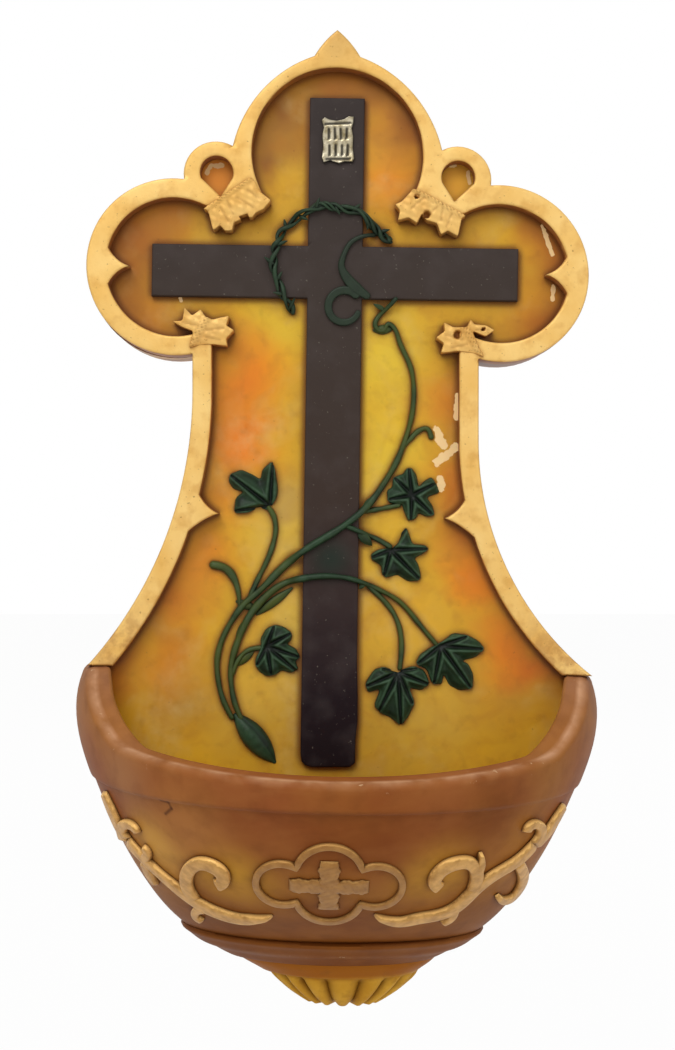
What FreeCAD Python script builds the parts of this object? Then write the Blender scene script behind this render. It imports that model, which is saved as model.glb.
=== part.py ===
import FreeCAD, Part
import math
import os

# Wall-hung holy water stoup. Millimetres, +Z up, the wall is the plane y = 0 and the
# front faces -Y. The origin is the centre of the keyhole that hangs it on the wall.
V = FreeCAD.Vector

# Plate and its gilt border
panel_thickness = 9.5
frame_rise = 4.0
frame_width = 4.0
frame_rebate = 1.5
cast_skew = 1.2          # degrees by which the cast shape drops to the right

apex_z = 38.1
ogee_foot = (4.7, 32.7)
ogee_bend = 0.60         # share of the ogee's half width at half its height
arch_shoulder = (16.4, 24.4)
ear_centre = (24.8, 7.9)
ear_radius = 6.8
ear_start_angle = 119.0
ear_recess_radius = 3.4
ear_recess_lift = 0.4    # centre of the recess above the centre of the ear
ear_recess_drop = 4.9    # from there down to the tip
ear_recess_lean = 0.8    # how far the tip stands towards the arch
ear_recess_side_angle = -20.0
lobe_centre = (33.4, -11.25)
lobe_radius = 18.2
neck_half_width_right = 29.0
neck_half_width_left = 29.8
neck_end_z_right = -46.0
neck_end_z_left = -36.5
flare_radius_right = 60.0
flare_radius_left = 86.0
seat_z = -93.5           # height at which the plate sits on the rim of the bowl

opening_arch_centre_z = 12.7
opening_arch_radius = 17.6
opening_arch_end_angle = -28.0
opening_lobe_start_angle = 130.0
cusp_depth = 4.8
cusp_half_base = 3.8
cusp_hollow = 0.55       # how hollow the sides of a cusp are, as shares of its
cusp_hollow_spread = 0.4  # depth and of its half base
neck_cusp_hollow = 0.45
neck_cusp_z = -61.7

# Bowl: half width and depth of the outside at each height
lip_sections = ((-93.5, 53.0, 52.6), (-98.0, 54.4, 54.2), (-103.0, 54.8, 54.8),
                (-108.5, 54.0, 55.0), (-116.3, 51.4, 53.9))
lip_step_side = 0.3
lip_step_front = 0.9
body_sections = ((-124.8, 47.6, 48.0), (-131.7, 44.2, 41.6), (-138.6, 40.0, 33.6),
                 (-145.6, 34.4, 23.6), (-150.2, 29.2, 16.6))
bowl_wall = 5.0
bowl_floor = 7.0
fit_tolerance = 0.01
swoop_start_depth = 13.6
swoop_middle = (-23.5, -99.6)
swoop_end = (-33.5, -107.2)
rim_front_z = -110.6

# Mouldings under the bowl
ring_sections = ((-150.2, 26.9, 15.6), (-152.0, 27.1, 15.8), (-154.2, 23.6, 12.8))
collar_sections = ((-154.2, 21.2, 12.2), (-158.0, 16.1, 10.6))
collar_centre_x = 1.4
pendant_sections = ((-158.0, 15.1, 10.0), (-160.6, 12.2, 9.0), (-162.8, 8.9, 7.0),
                    (-164.2, 6.0, 4.8))
pendant_centre_x = 2.1
flute_angles = (0.0, 18.0, 36.0, 54.0, 76.0, 104.0, 126.0, 144.0, 162.0, 180.0)
flute_depth = 0.9
flute_narrowing = 0.55   # radius of a flute at its top, as a share of its depth
flute_drop = 0.6         # top of the flutes under the collar
flute_overrun = 1.5
spigot_radius = 3.6
spigot_centre_y = -5.6
spigot_cover = 2.0       # what the floor of the bowl leaves above the spigot
spigot_clearance = 0.1

# Cross and its title plaque
cross_lean = 0.85
cross_top_z = 24.6
cross_bottom_z = -113.6
cross_width = 11.3
cross_thickness = 1.7
beam_half_length = 37.8
beam_centre_z = -11.4
beam_height = 10.8
cross_corner_round = 1.6
cross_peg_radius = 1.5
cross_peg_length = 3.0
cross_peg_heights = (14.0, -75.0)
plaque_width = 6.7
plaque_height = 9.6
plaque_thickness = 0.9
plaque_centre_z = 15.8
plaque_tilt = -4.0
plaque_outline = ((-0.50, 0.42), (-0.20, 0.50), (0.16, 0.44), (0.50, 0.50), (0.46, 0.0),
                  (0.50, -0.46), (0.10, -0.50), (-0.28, -0.44), (-0.50, -0.50), (-0.45, 0.0))

# Vine
stem_radius = 0.65
twig_radius = 0.5
main_stalks = ("upper_vine", "lower_vine")
wreath_radius = 12.1
wreath_centre = (-0.8, -9.6)
wreath_tube_radius = 1.15
tendril_tube_radius = 0.6
stem_sink = 0.25
climb_length = 3.4
leaf_thickness = 1.5
bud_radius = 2.4
bud_start = (-20.9, -103.2)
bud_end = (-13.1, -112.6)
bud_profile = (0.30, 0.62, 0.88, 1.0, 0.97, 0.82, 0.56, 0.14)

# Relief on the bowl
relief_height = 0.9
medallion_centre = (-0.8, -131.9)
medallion_half_width = 14.6
medallion_half_height = 9.7
medallion_band = 1.5
medallion_corner = (0.46, 0.47)  # where two lobes meet, as shares of the half sizes
medallion_corner_inset = 0.6
medallion_cross_width = 3.8
medallion_cross_height = 11.6
medallion_cross_span = 15.2
medallion_beam_width = 3.0

# Gilt sprigs at the inner corners of the border
sprig_proud = 0.7

# Keyhole hanger let into the back
hanger_width = 34.0
hanger_height = 22.0
hanger_thickness = 2.0
hanger_centre_z = 3.5
hanger_corner = 3.0
keyhole_radius = 4.5
keyhole_slot_width = 4.5
keyhole_slot_length = 8.0
head_pocket_depth = 4.6
head_pocket_margin = 1.5
screw_spacing = 25.0
screw_radius = 1.3
screw_head_radius = 2.5
screw_head_height = 1.3
screw_length = 6.0
screw_clearance = 0.1

# Where the stalks run on the front of the panel, as (x, z). Each is laid on after those
# named before it and ends against them.
stalk_runs = {
    "upper_vine": ((12.2, -17.6), (10.4, -20.2), (10.2, -22.8), (12.6, -26.2),
                   (15.0, -30.5), (15.8, -35.6), (15.4, -40.8), (14.0, -46.0),
                   (11.9, -51.1), (9.4, -55.3), (6.7, -59.0), (3.0, -62.5), (-1.6, -65.6),
                   (-6.7, -68.7), (-11.9, -72.9), (-16.0, -77.0), (-19.3, -79.9),
                   (-21.9, -83.4), (-23.9, -87.3), (-24.9, -91.5), (-24.7, -95.6),
                   (-23.7, -99.7), (-21.9, -103.4)),
    "curl_twig": ((13.4, -47.4), (15.2, -45.6), (16.9, -44.0), (18.5, -43.6), (19.4, -45.3)),
    "leaf_stalk_2": ((5.0, -60.8), (7.8, -60.4), (10.4, -59.9), (12.6, -59.4)),
    "leaf_stalk_3": ((1.6, -63.6), (5.2, -65.2), (8.4, -66.6), (10.8, -68.0)),
    "lower_vine": ((20.4, -88.2), (16.4, -83.4), (12.9, -79.5), (7.8, -76.6), (3.6, -74.9),
                   (-1.6, -74.1), (-6.7, -74.5), (-10.9, -75.6), (-14.9, -78.4),
                   (-17.7, -81.6), (-19.6, -85.0), (-21.0, -88.6), (-22.0, -92.5),
                   (-22.0, -96.6), (-21.2, -100.6), (-20.0, -103.6)),
    "leaf_stalk_5": ((6.4, -76.2), (9.6, -79.2), (11.9, -82.4), (13.1, -86.3),
                     (12.9, -93.2)),
    "leaf_stalk_1": ((-18.3, -78.9), (-16.8, -75.4), (-15.0, -71.8), (-13.4, -67.7),
                     (-12.8, -64.2), (-13.4, -61.3), (-14.2, -60.0)),
    "side_shoot": ((-25.7, -71.8), (-23.3, -72.5), (-21.2, -75.2), (-20.2, -80.9)),
    "leaf_stalk_4": ((-21.9, -94.6), (-20.5, -91.4), (-18.2, -89.4), (-15.8, -89.0)),
}
tendril = ((7.4, -3.6), (3.0, -5.5), (1.3, -7.9), (0.8, -10.4), (2.0, -12.7), (4.6, -14.7),
           (7.1, -16.6))
curl_centre = (1.6, -18.6)
curl_start_radius = 3.5
curl_end_radius = 2.9
curl_start_angle = 52.0
curl_turn = 290.0
wreath_start_angle = 236.0
wreath_end_angle = 19.0

# Scrolls on the bowl: for each ribbon its spots and its widths along the way
scroll_ribbons = {
    "scroll_left": (
        (((-11.7, -140.2), (-15.0, -141.2), (-18.3, -141.6), (-21.7, -141.0), (-25.0, -139.8),
          (-30.7, -136.1), (-35.9, -132.0), (-41.5, -127.3)),
         (0.6, 2.4, 2.6, 2.6, 2.4, 1.8, 1.9, 2.4)),
        (((-27.0, -138.4), (-28.3, -136.0), (-28.6, -133.3), (-27.6, -130.4), (-25.5, -128.7),
          (-23.0, -128.9), (-21.2, -130.4), (-21.2, -132.5), (-22.7, -133.5)),
         (2.2, 2.6, 2.8, 2.7, 2.7, 2.6)),
        (((-42.1, -128.2), (-42.4, -125.7), (-41.0, -123.5), (-39.2, -123.5), (-38.1, -124.7)),
         (2.4, 2.4, 2.2, 1.8, 0.8)),
        (((-37.7, -131.0), (-36.6, -128.7), (-37.3, -127.3)), (2.2, 1.8, 0.6)),
        (((-37.6, -131.4), (-36.8, -134.2), (-35.4, -137.0)), (2.0, 2.2, 0.8)),
        (((-25.1, -140.2), (-27.1, -141.2), (-27.4, -143.0), (-25.9, -144.0)), (2.0, 1.8, 0.8)),
        (((-41.3, -127.4), (-42.9, -125.1), (-44.1, -122.6), (-45.2, -120.1), (-46.1, -117.9)),
         (2.4, 2.2, 2.0, 1.2))),
    "scroll_right": (
        (((8.1, -139.0), (10.9, -140.4), (13.6, -140.9), (16.5, -140.3), (20.6, -139.7),
          (24.1, -138.1), (27.4, -134.3), (31.6, -130.9), (36.4, -128.4), (39.6, -125.4)),
         (0.6, 2.0, 2.4, 2.4, 2.5, 2.6, 2.4, 2.3, 2.4, 2.2)),
        (((27.1, -134.4), (27.6, -131.6), (27.2, -129.1), (25.7, -127.3), (23.4, -127.0),
          (21.1, -127.8), (19.5, -129.6), (19.3, -131.5), (20.6, -132.8)),
         (2.4, 2.7, 2.6, 2.7, 2.6, 2.5)),
        (((27.4, -130.3), (28.0, -128.0), (27.9, -125.3)), (2.2, 1.8, 0.6)),
        (((39.4, -125.8), (40.6, -123.2), (39.6, -121.2), (37.8, -121.0), (37.0, -122.4)),
         (2.4, 2.0, 1.9, 1.8, 1.4)),
        (((36.2, -129.2), (38.0, -133.0), (38.2, -136.6), (36.6, -139.1), (34.3, -138.8),
          (32.8, -136.9)), (2.2, 2.3, 2.2, 2.2, 2.0, 1.0)),
        (((23.8, -138.3), (23.2, -141.1), (21.6, -142.3)), (2.4, 1.8, 0.8)),
        (((39.4, -126.0), (42.4, -123.5), (44.1, -121.0), (45.8, -118.4)), (2.4, 2.2, 2.0, 1.2))),
}

# Outlines of the ivy leaves on the panel and of the gilt sprigs, as (x, z)
leaf_outlines = {
    "ivy_leaf_1": ((-14.2, -60.5), (-12.5, -57.8), (-12.3, -55.9), (-12.9, -52.2),
                   (-13.5, -50.3), (-15.6, -52.0), (-16.0, -54.0), (-17.5, -53.0),
                   (-19.9, -52.0), (-22.2, -53.0), (-22.6, -54.5), (-21.6, -56.1),
                   (-19.5, -56.7), (-21.2, -57.8), (-21.4, -61.1), (-18.7, -61.1),
                   (-16.4, -60.0)),
    "ivy_leaf_2": ((12.7, -59.6), (10.4, -58.8), (10.2, -56.3), (11.3, -55.7), (11.5, -53.8),
                   (12.7, -53.2), (13.5, -53.0), (14.4, -51.8), (15.4, -51.8), (16.4, -53.2),
                   (16.8, -55.7), (18.1, -54.3), (19.5, -53.6), (20.6, -55.3), (21.2, -56.9),
                   (18.5, -57.8), (19.7, -59.6), (20.1, -61.5), (18.5, -61.9), (16.8, -61.1),
                   (16.2, -62.3), (14.6, -62.7), (13.9, -61.1), (13.3, -59.4)),
    "ivy_leaf_3": ((10.6, -68.3), (12.5, -67.5), (13.1, -65.4), (14.2, -64.0), (15.0, -65.8),
                   (15.6, -67.5), (18.1, -67.7), (18.9, -68.5), (17.7, -69.5), (16.0, -70.4),
                   (16.8, -71.8), (17.3, -74.1), (16.8, -75.1), (14.6, -75.3), (12.3, -73.9),
                   (10.0, -74.5), (9.2, -73.7), (9.0, -72.0), (7.1, -70.8), (6.9, -69.7),
                   (8.2, -68.7)),
    "ivy_leaf_4": ((-15.8, -89.0), (-16.0, -87.1), (-14.8, -85.0), (-12.9, -84.2),
                   (-11.1, -84.6), (-9.4, -86.0), (-9.6, -87.4), (-10.4, -88.2),
                   (-8.6, -89.2), (-7.7, -90.8), (-8.7, -91.8), (-8.1, -93.4), (-9.6, -94.2),
                   (-11.6, -93.7), (-12.8, -94.6), (-14.8, -94.9), (-16.2, -94.0),
                   (-17.0, -92.6), (-17.0, -91.2)),
    "ivy_leaf_5": ((12.7, -93.7), (11.7, -93.7), (9.6, -92.9), (7.5, -93.5), (5.7, -96.4),
                   (6.3, -98.3), (8.8, -97.6), (7.5, -101.0), (9.0, -102.6), (10.8, -103.4),
                   (13.1, -105.1), (14.8, -103.2), (16.0, -100.3), (14.8, -97.2),
                   (17.3, -97.9), (19.1, -96.4), (18.1, -93.7), (15.8, -92.7)),
    "ivy_leaf_6": ((20.4, -88.3), (19.1, -89.0), (17.0, -90.4), (16.2, -92.3), (18.5, -93.5),
                   (19.5, -96.4), (21.6, -96.6), (22.0, -94.5), (23.0, -96.8), (25.1, -97.9),
                   (28.0, -97.4), (28.2, -94.5), (27.2, -92.3), (25.9, -91.7), (28.6, -91.0),
                   (30.5, -89.2), (29.2, -87.5), (26.8, -86.3), (23.9, -85.9), (22.0, -87.5)),
}
sprig_outlines = {
    "sprig_upper_left": ((-27.5, 1.3), (-26.5, 0.7), (-25.5, -3.2), (-24.1, -2.1),
                         (-23.0, -3.2), (-21.6, -3.2), (-21.2, -1.5), (-19.8, -0.9),
                         (-20.2, -0.3), (-18.5, 0.3), (-18.1, -0.5), (-17.5, -0.5),
                         (-16.7, 0.5), (-15.3, 1.1), (-13.6, 3.0), (-15.9, 4.8),
                         (-16.9, 6.9), (-17.9, 7.7)),
    "sprig_upper_right": ((15.7, 5.6), (13.2, 2.8), (11.8, 2.2), (12.8, 0.9), (12.4, -1.1),
                          (14.6, -0.5), (16.3, -1.7), (17.3, 0.3), (18.3, -1.1),
                          (20.4, -1.7), (21.2, -4.0), (22.6, -3.2), (24.7, -4.4),
                          (25.5, -0.7), (26.3, -0.1)),
    "sprig_lower_left": ((-30.4, -27.3), (-29.6, -23.8), (-31.8, -23.0), (-33.9, -21.8),
                         (-31.8, -21.6), (-31.4, -18.9), (-29.8, -20.6), (-28.1, -19.3),
                         (-27.1, -20.8), (-25.7, -21.4), (-22.2, -20.6), (-22.8, -22.6),
                         (-21.2, -23.6), (-22.8, -25.3), (-22.6, -26.9), (-25.5, -26.5),
                         (-28.6, -26.7)),
    "sprig_lower_right": ((21.8, -22.0), (22.0, -23.8), (20.2, -25.1), (21.8, -26.3),
                          (21.2, -28.3), (24.5, -27.9), (27.9, -28.3), (30.0, -29.2),
                          (28.8, -26.9), (27.7, -23.8), (30.4, -24.9), (32.2, -23.6),
                          (30.4, -22.6), (28.1, -22.4), (27.3, -21.4), (26.5, -23.0),
                          (23.8, -23.0)),
}

panel_front = -panel_thickness
frame_front = panel_front - frame_rise
cross_front = panel_front - cross_thickness
skew_slope = math.tan(math.radians(cast_skew))
oval_steps = 24          # spans of the curve through each half oval
wreath_steps = 24
coil_steps = 20
ribbon_steps = 4         # points of a ribbon's sides to each of its spots
stem_step = 2.2          # spacing of the points that carry a stem
stem_degree = 2          # of the curves along a stem; higher ones swing out of line
tool_size = 400.0        # more than the object measures, for the tools that cut it
flares = {"right": (neck_half_width_right, neck_end_z_right, flare_radius_right),
          "left": (neck_half_width_left, neck_end_z_left, flare_radius_left)}


def on_circle(centre, radius, degrees):
    """Point of a circle in the XZ plane, the angle measured from +X towards +Z."""
    angle = math.radians(degrees)
    return (centre[0] + radius * math.cos(angle), centre[1] + radius * math.sin(angle))


def circle_meeting(centre, radius, other, other_radius):
    """The outer of the two points at which two circles of the outline cross."""
    dx = other[0] - centre[0]
    dz = other[1] - centre[1]
    gap = math.hypot(dx, dz)
    along = (gap ** 2 + radius ** 2 - other_radius ** 2) / (2 * gap)
    across = math.sqrt(radius ** 2 - along ** 2)
    return (centre[0] + (along * dx - across * dz) / gap,
            centre[1] + (along * dz + across * dx) / gap)


def circle_foot(centre, radius, x):
    """Height of the lower half of a circle at x."""
    return centre[1] - math.sqrt(radius ** 2 - (x - centre[0]) ** 2)


def arc_step(centre, radius, start, end):
    """Step of an outline along a circle, clockwise from the start to the end."""
    first = math.degrees(math.atan2(start[1] - centre[1], start[0] - centre[0]))
    last = math.degrees(math.atan2(end[1] - centre[1], end[0] - centre[0]))
    if last > first:
        last -= 360.0
    return (on_circle(centre, radius, (first + last) / 2), end)


def skewed(spot, y=0.0):
    """Place an outline point in space, with the drop to the right of the casting."""
    return V(spot[0], y, spot[1] - spot[0] * skew_slope)


def placed(spot, y=0.0):
    """Place an outline point in space at the depth y."""
    return V(spot[0], y, spot[1])


def drawn(start, steps, place):
    """Edges from a start point through steps: (end,) is a line, (middle, end) an arc."""
    edges = []
    here = start
    for step in steps:
        end = step[-1]
        if len(step) == 1:
            edges.append(Part.makeLine(place(here), place(end)))
        else:
            edges.append(Part.Arc(place(here), place(step[0]), place(end)).toShape())
        here = end
    return edges


def mirrored(start, steps):
    """The steps of the left half: the right half mirrored and run backwards."""
    ends = [start] + [step[-1] for step in steps]
    flipped = [(-x, z) for x, z in ends]
    back = []
    for index in range(len(steps) - 1, -1, -1):
        step = steps[index]
        if len(step) == 1:
            back.append((flipped[index],))
        else:
            back.append(((-step[0][0], step[0][1]), flipped[index]))
    return back


def both_sides(start, right, left):
    """Closed face from the steps of the right half and those of the left, still unmirrored."""
    edges = drawn(start, right, skewed)
    edges += drawn(right[-1][-1], mirrored(start, left), skewed)
    return Part.Face(Part.Wire(edges))


def slab(face, back, front):
    """Solid of a face in the wall plane, from the depth back to the depth front."""
    moved = face.copy()
    moved.translate(V(0, back, 0))
    return moved.extrude(V(0, front - back, 0))


def plate_steps(flare):
    """Half the outline of the plate, from the apex down to the seat on the bowl."""
    neck_half_width, neck_end_z, _ = flare
    ear_start = on_circle(ear_centre, ear_radius, ear_start_angle)
    lobe_start = circle_meeting(ear_centre, ear_radius, lobe_centre, lobe_radius)
    lobe_end = (neck_half_width, circle_foot(lobe_centre, lobe_radius, neck_half_width))
    ogee_middle = (ogee_foot[0] * ogee_bend, (apex_z + ogee_foot[1]) / 2)
    steps = [(ogee_middle, ogee_foot), (arch_shoulder, ear_start),
             arc_step(ear_centre, ear_radius, ear_start, lobe_start),
             arc_step(lobe_centre, lobe_radius, lobe_start, lobe_end),
             ((neck_half_width, neck_end_z),)]
    steps.append((flare_point(flare, (neck_end_z + seat_z) / 2, 0.0),
                  flare_point(flare, seat_z, 0.0)))
    return steps + [((0.0, seat_z),)]


def plate_face():
    """Outline of the plate."""
    return both_sides((0.0, apex_z), plate_steps(flares["right"]), plate_steps(flares["left"]))


def flare_point(flare, z, inset):
    """Point of a flaring side of the plate, moved inwards by inset."""
    neck_half_width, neck_end_z, flare_radius = flare
    reach = flare_radius + inset
    centre_x = neck_half_width + flare_radius
    return (centre_x - math.sqrt(reach ** 2 - (z - neck_end_z) ** 2), z)


def opening_steps(flare):
    """Half the opening inside the gilt border, with its two pointed cusps."""
    neck_half_width, neck_end_z, _ = flare
    top = (0.0, opening_arch_centre_z + opening_arch_radius)
    arch_centre = (0.0, opening_arch_centre_z)
    arch_end = on_circle(arch_centre, opening_arch_radius, opening_arch_end_angle)
    inner = lobe_radius - frame_width
    lobe_start = on_circle(lobe_centre, inner, opening_lobe_start_angle)
    cusp_angle = math.degrees(cusp_half_base / inner)
    upper = on_circle(lobe_centre, inner, cusp_angle)
    lower = on_circle(lobe_centre, inner, -cusp_angle)
    tip = (lobe_centre[0] + inner - cusp_depth, lobe_centre[1])
    side_x = tip[0] + cusp_depth * cusp_hollow
    side_rise = cusp_half_base * cusp_hollow_spread
    neck_x = neck_half_width - frame_width
    lobe_end = (neck_x, circle_foot(lobe_centre, inner, neck_x))
    steps = [arc_step(arch_centre, opening_arch_radius, top, arch_end), (lobe_start,),
             arc_step(lobe_centre, inner, lobe_start, upper),
             ((side_x, tip[1] + side_rise), tip), ((side_x, tip[1] - side_rise), lower),
             arc_step(lobe_centre, inner, lower, lobe_end), ((neck_x, neck_end_z),)]
    neck_tip = flare_point(flare, neck_cusp_z, frame_width + cusp_depth)
    above = flare_point(flare, neck_cusp_z + cusp_half_base, frame_width)
    below = flare_point(flare, neck_cusp_z - cusp_half_base, frame_width)
    side_inset = frame_width + cusp_depth * neck_cusp_hollow
    return steps + [
        (flare_point(flare, (neck_end_z + above[1]) / 2, frame_width), above),
        (flare_point(flare, neck_cusp_z + side_rise, side_inset), neck_tip),
        (flare_point(flare, neck_cusp_z - side_rise, side_inset), below),
        (flare_point(flare, (below[1] + seat_z) / 2, frame_width),
         flare_point(flare, seat_z, frame_width)), ((0.0, seat_z),)]


def opening_face():
    """Opening inside the gilt border."""
    top = (0.0, opening_arch_centre_z + opening_arch_radius)
    return both_sides(top, opening_steps(flares["right"]), opening_steps(flares["left"]))


def ear_recess_face(side):
    """Teardrop recess inside an ear; side is 1 for the right ear and -1 for the left."""
    centre = (side * ear_centre[0], ear_centre[1] + ear_recess_lift)
    tip = (centre[0] - side * ear_recess_lean, centre[1] - ear_recess_drop)
    right = on_circle(centre, ear_recess_radius, ear_recess_side_angle)
    left = on_circle(centre, ear_recess_radius, 180.0 - ear_recess_side_angle)
    top = on_circle(centre, ear_recess_radius, 90.0)
    return Part.Face(Part.Wire(drawn(tip, [(right,), (top, left), (tip,)], skewed)))


def frame_face():
    """Face of the gilt border: the plate less the opening and the ear recesses."""
    face = plate_face().cut(opening_face())
    for side in (-1, 1):
        face = face.cut(ear_recess_face(side))
    return face


def half_oval(z, half_width, depth):
    """Closed wire of half an oval against the wall, at one height."""
    spots = []
    for step in range(oval_steps + 1):
        angle = math.pi * step / oval_steps
        spots.append(V(-half_width * math.cos(angle), -depth * math.sin(angle), z))
    curve = Part.BSplineCurve()
    curve.interpolate(spots)
    return Part.Wire([curve.toShape(), Part.makeLine(spots[-1], spots[0])])


def half_round(sections, grow=0.0, shift=0.0):
    """Solid through half-oval sections, each grown outwards and shifted sideways."""
    wires = []
    for z, half_width, depth in sections:
        wire = half_oval(z, half_width + grow, depth + grow)
        wire.translate(V(shift, 0, 0))
        wires.append(wire)
    return Part.makeLoft(wires, True, False)


def turned(shape):
    """Turn a shape about the middle of the seat, to the drop of the casting."""
    moved = shape.copy()
    moved.rotate(V(0, 0, seat_z), V(0, 1, 0), cast_skew)
    return moved


def body_with_step():
    """Sections of the body, from under the lip down."""
    z, half_width, depth = lip_sections[-1]
    return ((z, half_width - lip_step_side, depth - lip_step_front),) + body_sections


def swoop_tool():
    """What is cut away above the rim: level at the plate, sweeping down to the front."""
    back = V(0, tool_size, seat_z)
    start = V(0, -swoop_start_depth, seat_z)
    middle = V(0, swoop_middle[0], swoop_middle[1])
    end = V(0, swoop_end[0], swoop_end[1])
    lip = V(0, -lip_sections[-2][2], rim_front_z)
    front = V(0, -tool_size, rim_front_z)
    above = V(0, -tool_size, tool_size)
    back_above = V(0, tool_size, tool_size)
    edges = [Part.makeLine(back, start), Part.Arc(start, middle, end).toShape(),
             Part.makeLine(end, lip), Part.makeLine(lip, front), Part.makeLine(front, above),
             Part.makeLine(above, back_above), Part.makeLine(back_above, back)]
    face = Part.Face(Part.Wire(edges))
    face.translate(V(-tool_size / 2, 0, 0))
    return face.extrude(V(tool_size, 0, 0))


def bowl_hollow():
    """Inside of the bowl, with a flat floor, before it is turned."""
    inside = half_round(lip_sections[:-1] + body_with_step(), -bowl_wall)
    floor_z = body_sections[-1][0] + bowl_floor
    return inside.cut(half_space_below(floor_z))


def half_space_below(z):
    """Block that reaches from the height z down, wider than the object."""
    corner = V(-tool_size / 2, -tool_size / 2, z - tool_size)
    return Part.makeBox(tool_size, tool_size, tool_size, corner)


def half_space_behind_panel():
    """Block from the front of the panel back, wider than the object."""
    corner = V(-tool_size / 2, panel_front, -tool_size / 2)
    return Part.makeBox(tool_size, tool_size, tool_size, corner)


def spigot(clearance):
    """Round spigot of the pendant, in the sockets of the ring and the bowl."""
    radius = spigot_radius + clearance
    foot = V(pendant_centre_x, spigot_centre_y, pendant_sections[0][0])
    length = body_sections[-1][0] + bowl_floor - spigot_cover + clearance - foot.z
    return Part.makeCylinder(radius, length, foot, V(0, 0, 1))


def make_bowl(hollow):
    """Bowl: a lip over a tapering body, open at the top and at the back."""
    outside = half_round(lip_sections).fuse(half_round(body_with_step()))
    bowl = outside.cut(hollow).cut(swoop_tool()).cut(spigot(spigot_clearance))
    return turned(bowl)


def make_ring():
    """Ring moulding under the bowl, with the hole for the spigot of the pendant."""
    return turned(half_round(ring_sections).cut(spigot(spigot_clearance)))


def make_pendant():
    """Collar and fluted pendant with the spigot that carries it."""
    collar = half_round(collar_sections, 0.0, collar_centre_x)
    pendant = half_round(pendant_sections, 0.0, pendant_centre_x)
    for flute_angle in flute_angles:
        angle = math.radians(flute_angle)
        start = pendant_spot(pendant_sections[0], angle, flute_drop)
        line = pendant_spot(pendant_sections[-1], angle, 0.0) - start
        tool = Part.makeCone(flute_depth * flute_narrowing, flute_depth,
                             line.Length + flute_overrun, start, line)
        pendant = pendant.cut(tool)
    whole = collar.fuse(pendant).fuse(spigot(0.0)).removeSplitter()
    return turned(whole)


def pendant_spot(section, angle, drop):
    """Point of the surface of the pendant at a section, the angle from its left edge."""
    z, half_width, depth = section
    return V(pendant_centre_x - half_width * math.cos(angle), -depth * math.sin(angle), z - drop)


def leaning(shape):
    """Lean a shape with the cross, about the middle of the top of the cross."""
    moved = shape.copy()
    moved.rotate(V(0, 0, cross_top_z), V(0, 1, 0), cross_lean)
    return moved


def cross_pegs(clearance):
    """Pegs on the back of the cross, or with a clearance the holes for them."""
    pegs = []
    for height in cross_peg_heights:
        peg = Part.makeCylinder(cross_peg_radius + clearance, cross_peg_length + clearance,
                                V(0, panel_front, height), V(0, 1, 0))
        pegs.append(leaning(peg))
    return pegs


def make_cross():
    """Plain cross with two pegs, its foot standing in the bowl."""
    upright = Part.makeBox(cross_width, cross_thickness, cross_top_z - cross_bottom_z,
                           V(-cross_width / 2, cross_front, cross_bottom_z))
    beam = Part.makeBox(2 * beam_half_length, cross_thickness, beam_height,
                        V(-beam_half_length, cross_front, beam_centre_z - beam_height / 2))
    foot = [edge for edge in upright.Edges if edge.Vertexes[0].Z == edge.Vertexes[-1].Z
            and edge.Vertexes[0].Z < cross_bottom_z + fit_tolerance
            and edge.Vertexes[0].X == edge.Vertexes[-1].X]
    upright = upright.makeFillet(cross_corner_round, foot)
    cross = leaning(upright.fuse(beam).removeSplitter())
    for peg in cross_pegs(0.0):
        cross = cross.fuse(peg)
    return cross


def make_plaque():
    """Bare title plaque on the head of the cross, slightly askew."""
    spots = [V(u * plaque_width, cross_front, v * plaque_height) for u, v in plaque_outline]
    face = Part.Face(Part.makePolygon(spots + spots[:1]))
    plaque = face.extrude(V(0, -plaque_thickness, 0))
    plaque.rotate(V(0, 0, 0), V(0, 1, 0), plaque_tilt)
    plaque.translate(V(0, 0, plaque_centre_z))
    return leaning(plaque)


def cross_distance(x, z):
    """Distance from a point of the front to the outline of the cross, 0 over it."""
    lean = math.radians(cross_lean)
    dz = z - cross_top_z
    u = x * math.cos(lean) - dz * math.sin(lean)
    v = cross_top_z + x * math.sin(lean) + dz * math.cos(lean)
    upright = math.hypot(max(abs(u) - cross_width / 2, 0.0),
                         max(v - cross_top_z, cross_bottom_z - v, 0.0))
    beam = math.hypot(max(abs(u) - beam_half_length, 0.0),
                      max(abs(v - beam_centre_z) - beam_height / 2, 0.0))
    return min(upright, beam)


def climbing(x, z, radius):
    """Centre of a stem of the given radius: on the panel, or higher over the cross."""
    nearness = max(0.0, 1.0 - cross_distance(x, z) / climb_length)
    rise = nearness * nearness * (3.0 - 2.0 * nearness)
    return V(x, panel_front - rise * cross_thickness - radius + stem_sink, z)


def stem(spots, radius):
    """Round stem along hand-drawn spots of the front, climbing over the cross."""
    flat = Part.BSplineCurve()
    flat.interpolate([V(x, 0, z) for x, z in spots])
    count = max(4, int(flat.length() / stem_step))
    places = flat.discretize(Number=count + 1)
    centres = [climbing(place.x, place.z, radius) for place in places]
    rings = []
    for index, centre in enumerate(centres):
        along = centres[min(index + 1, count)] - centres[max(index - 1, 0)]
        rings.append(ring_round(centre, along, radius))
    return Part.makeLoft(rings, True, False, False, stem_degree)


def ring_round(centre, along, radius):
    """Circle across a stem, its seam turned to the wall."""
    circle = Part.Circle(centre, along, radius)
    circle.XAxis = V(0, 1, 0)
    return Part.Wire(circle.toShape())


def main_solid(shape):
    """The largest solid of a shape, without the crumbs that a cut leaves."""
    return max(shape.Solids, key=lambda solid: solid.Volume)


def less(shape, others):
    """Largest solid of a shape that is left beside other pieces."""
    for other in others:
        shape = shape.cut(other)
    return main_solid(shape)


def above_panel(shape, cross):
    """What of a stem or bud stands above the panel and the cross."""
    return less(shape, [half_space_behind_panel(), cross])


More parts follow.
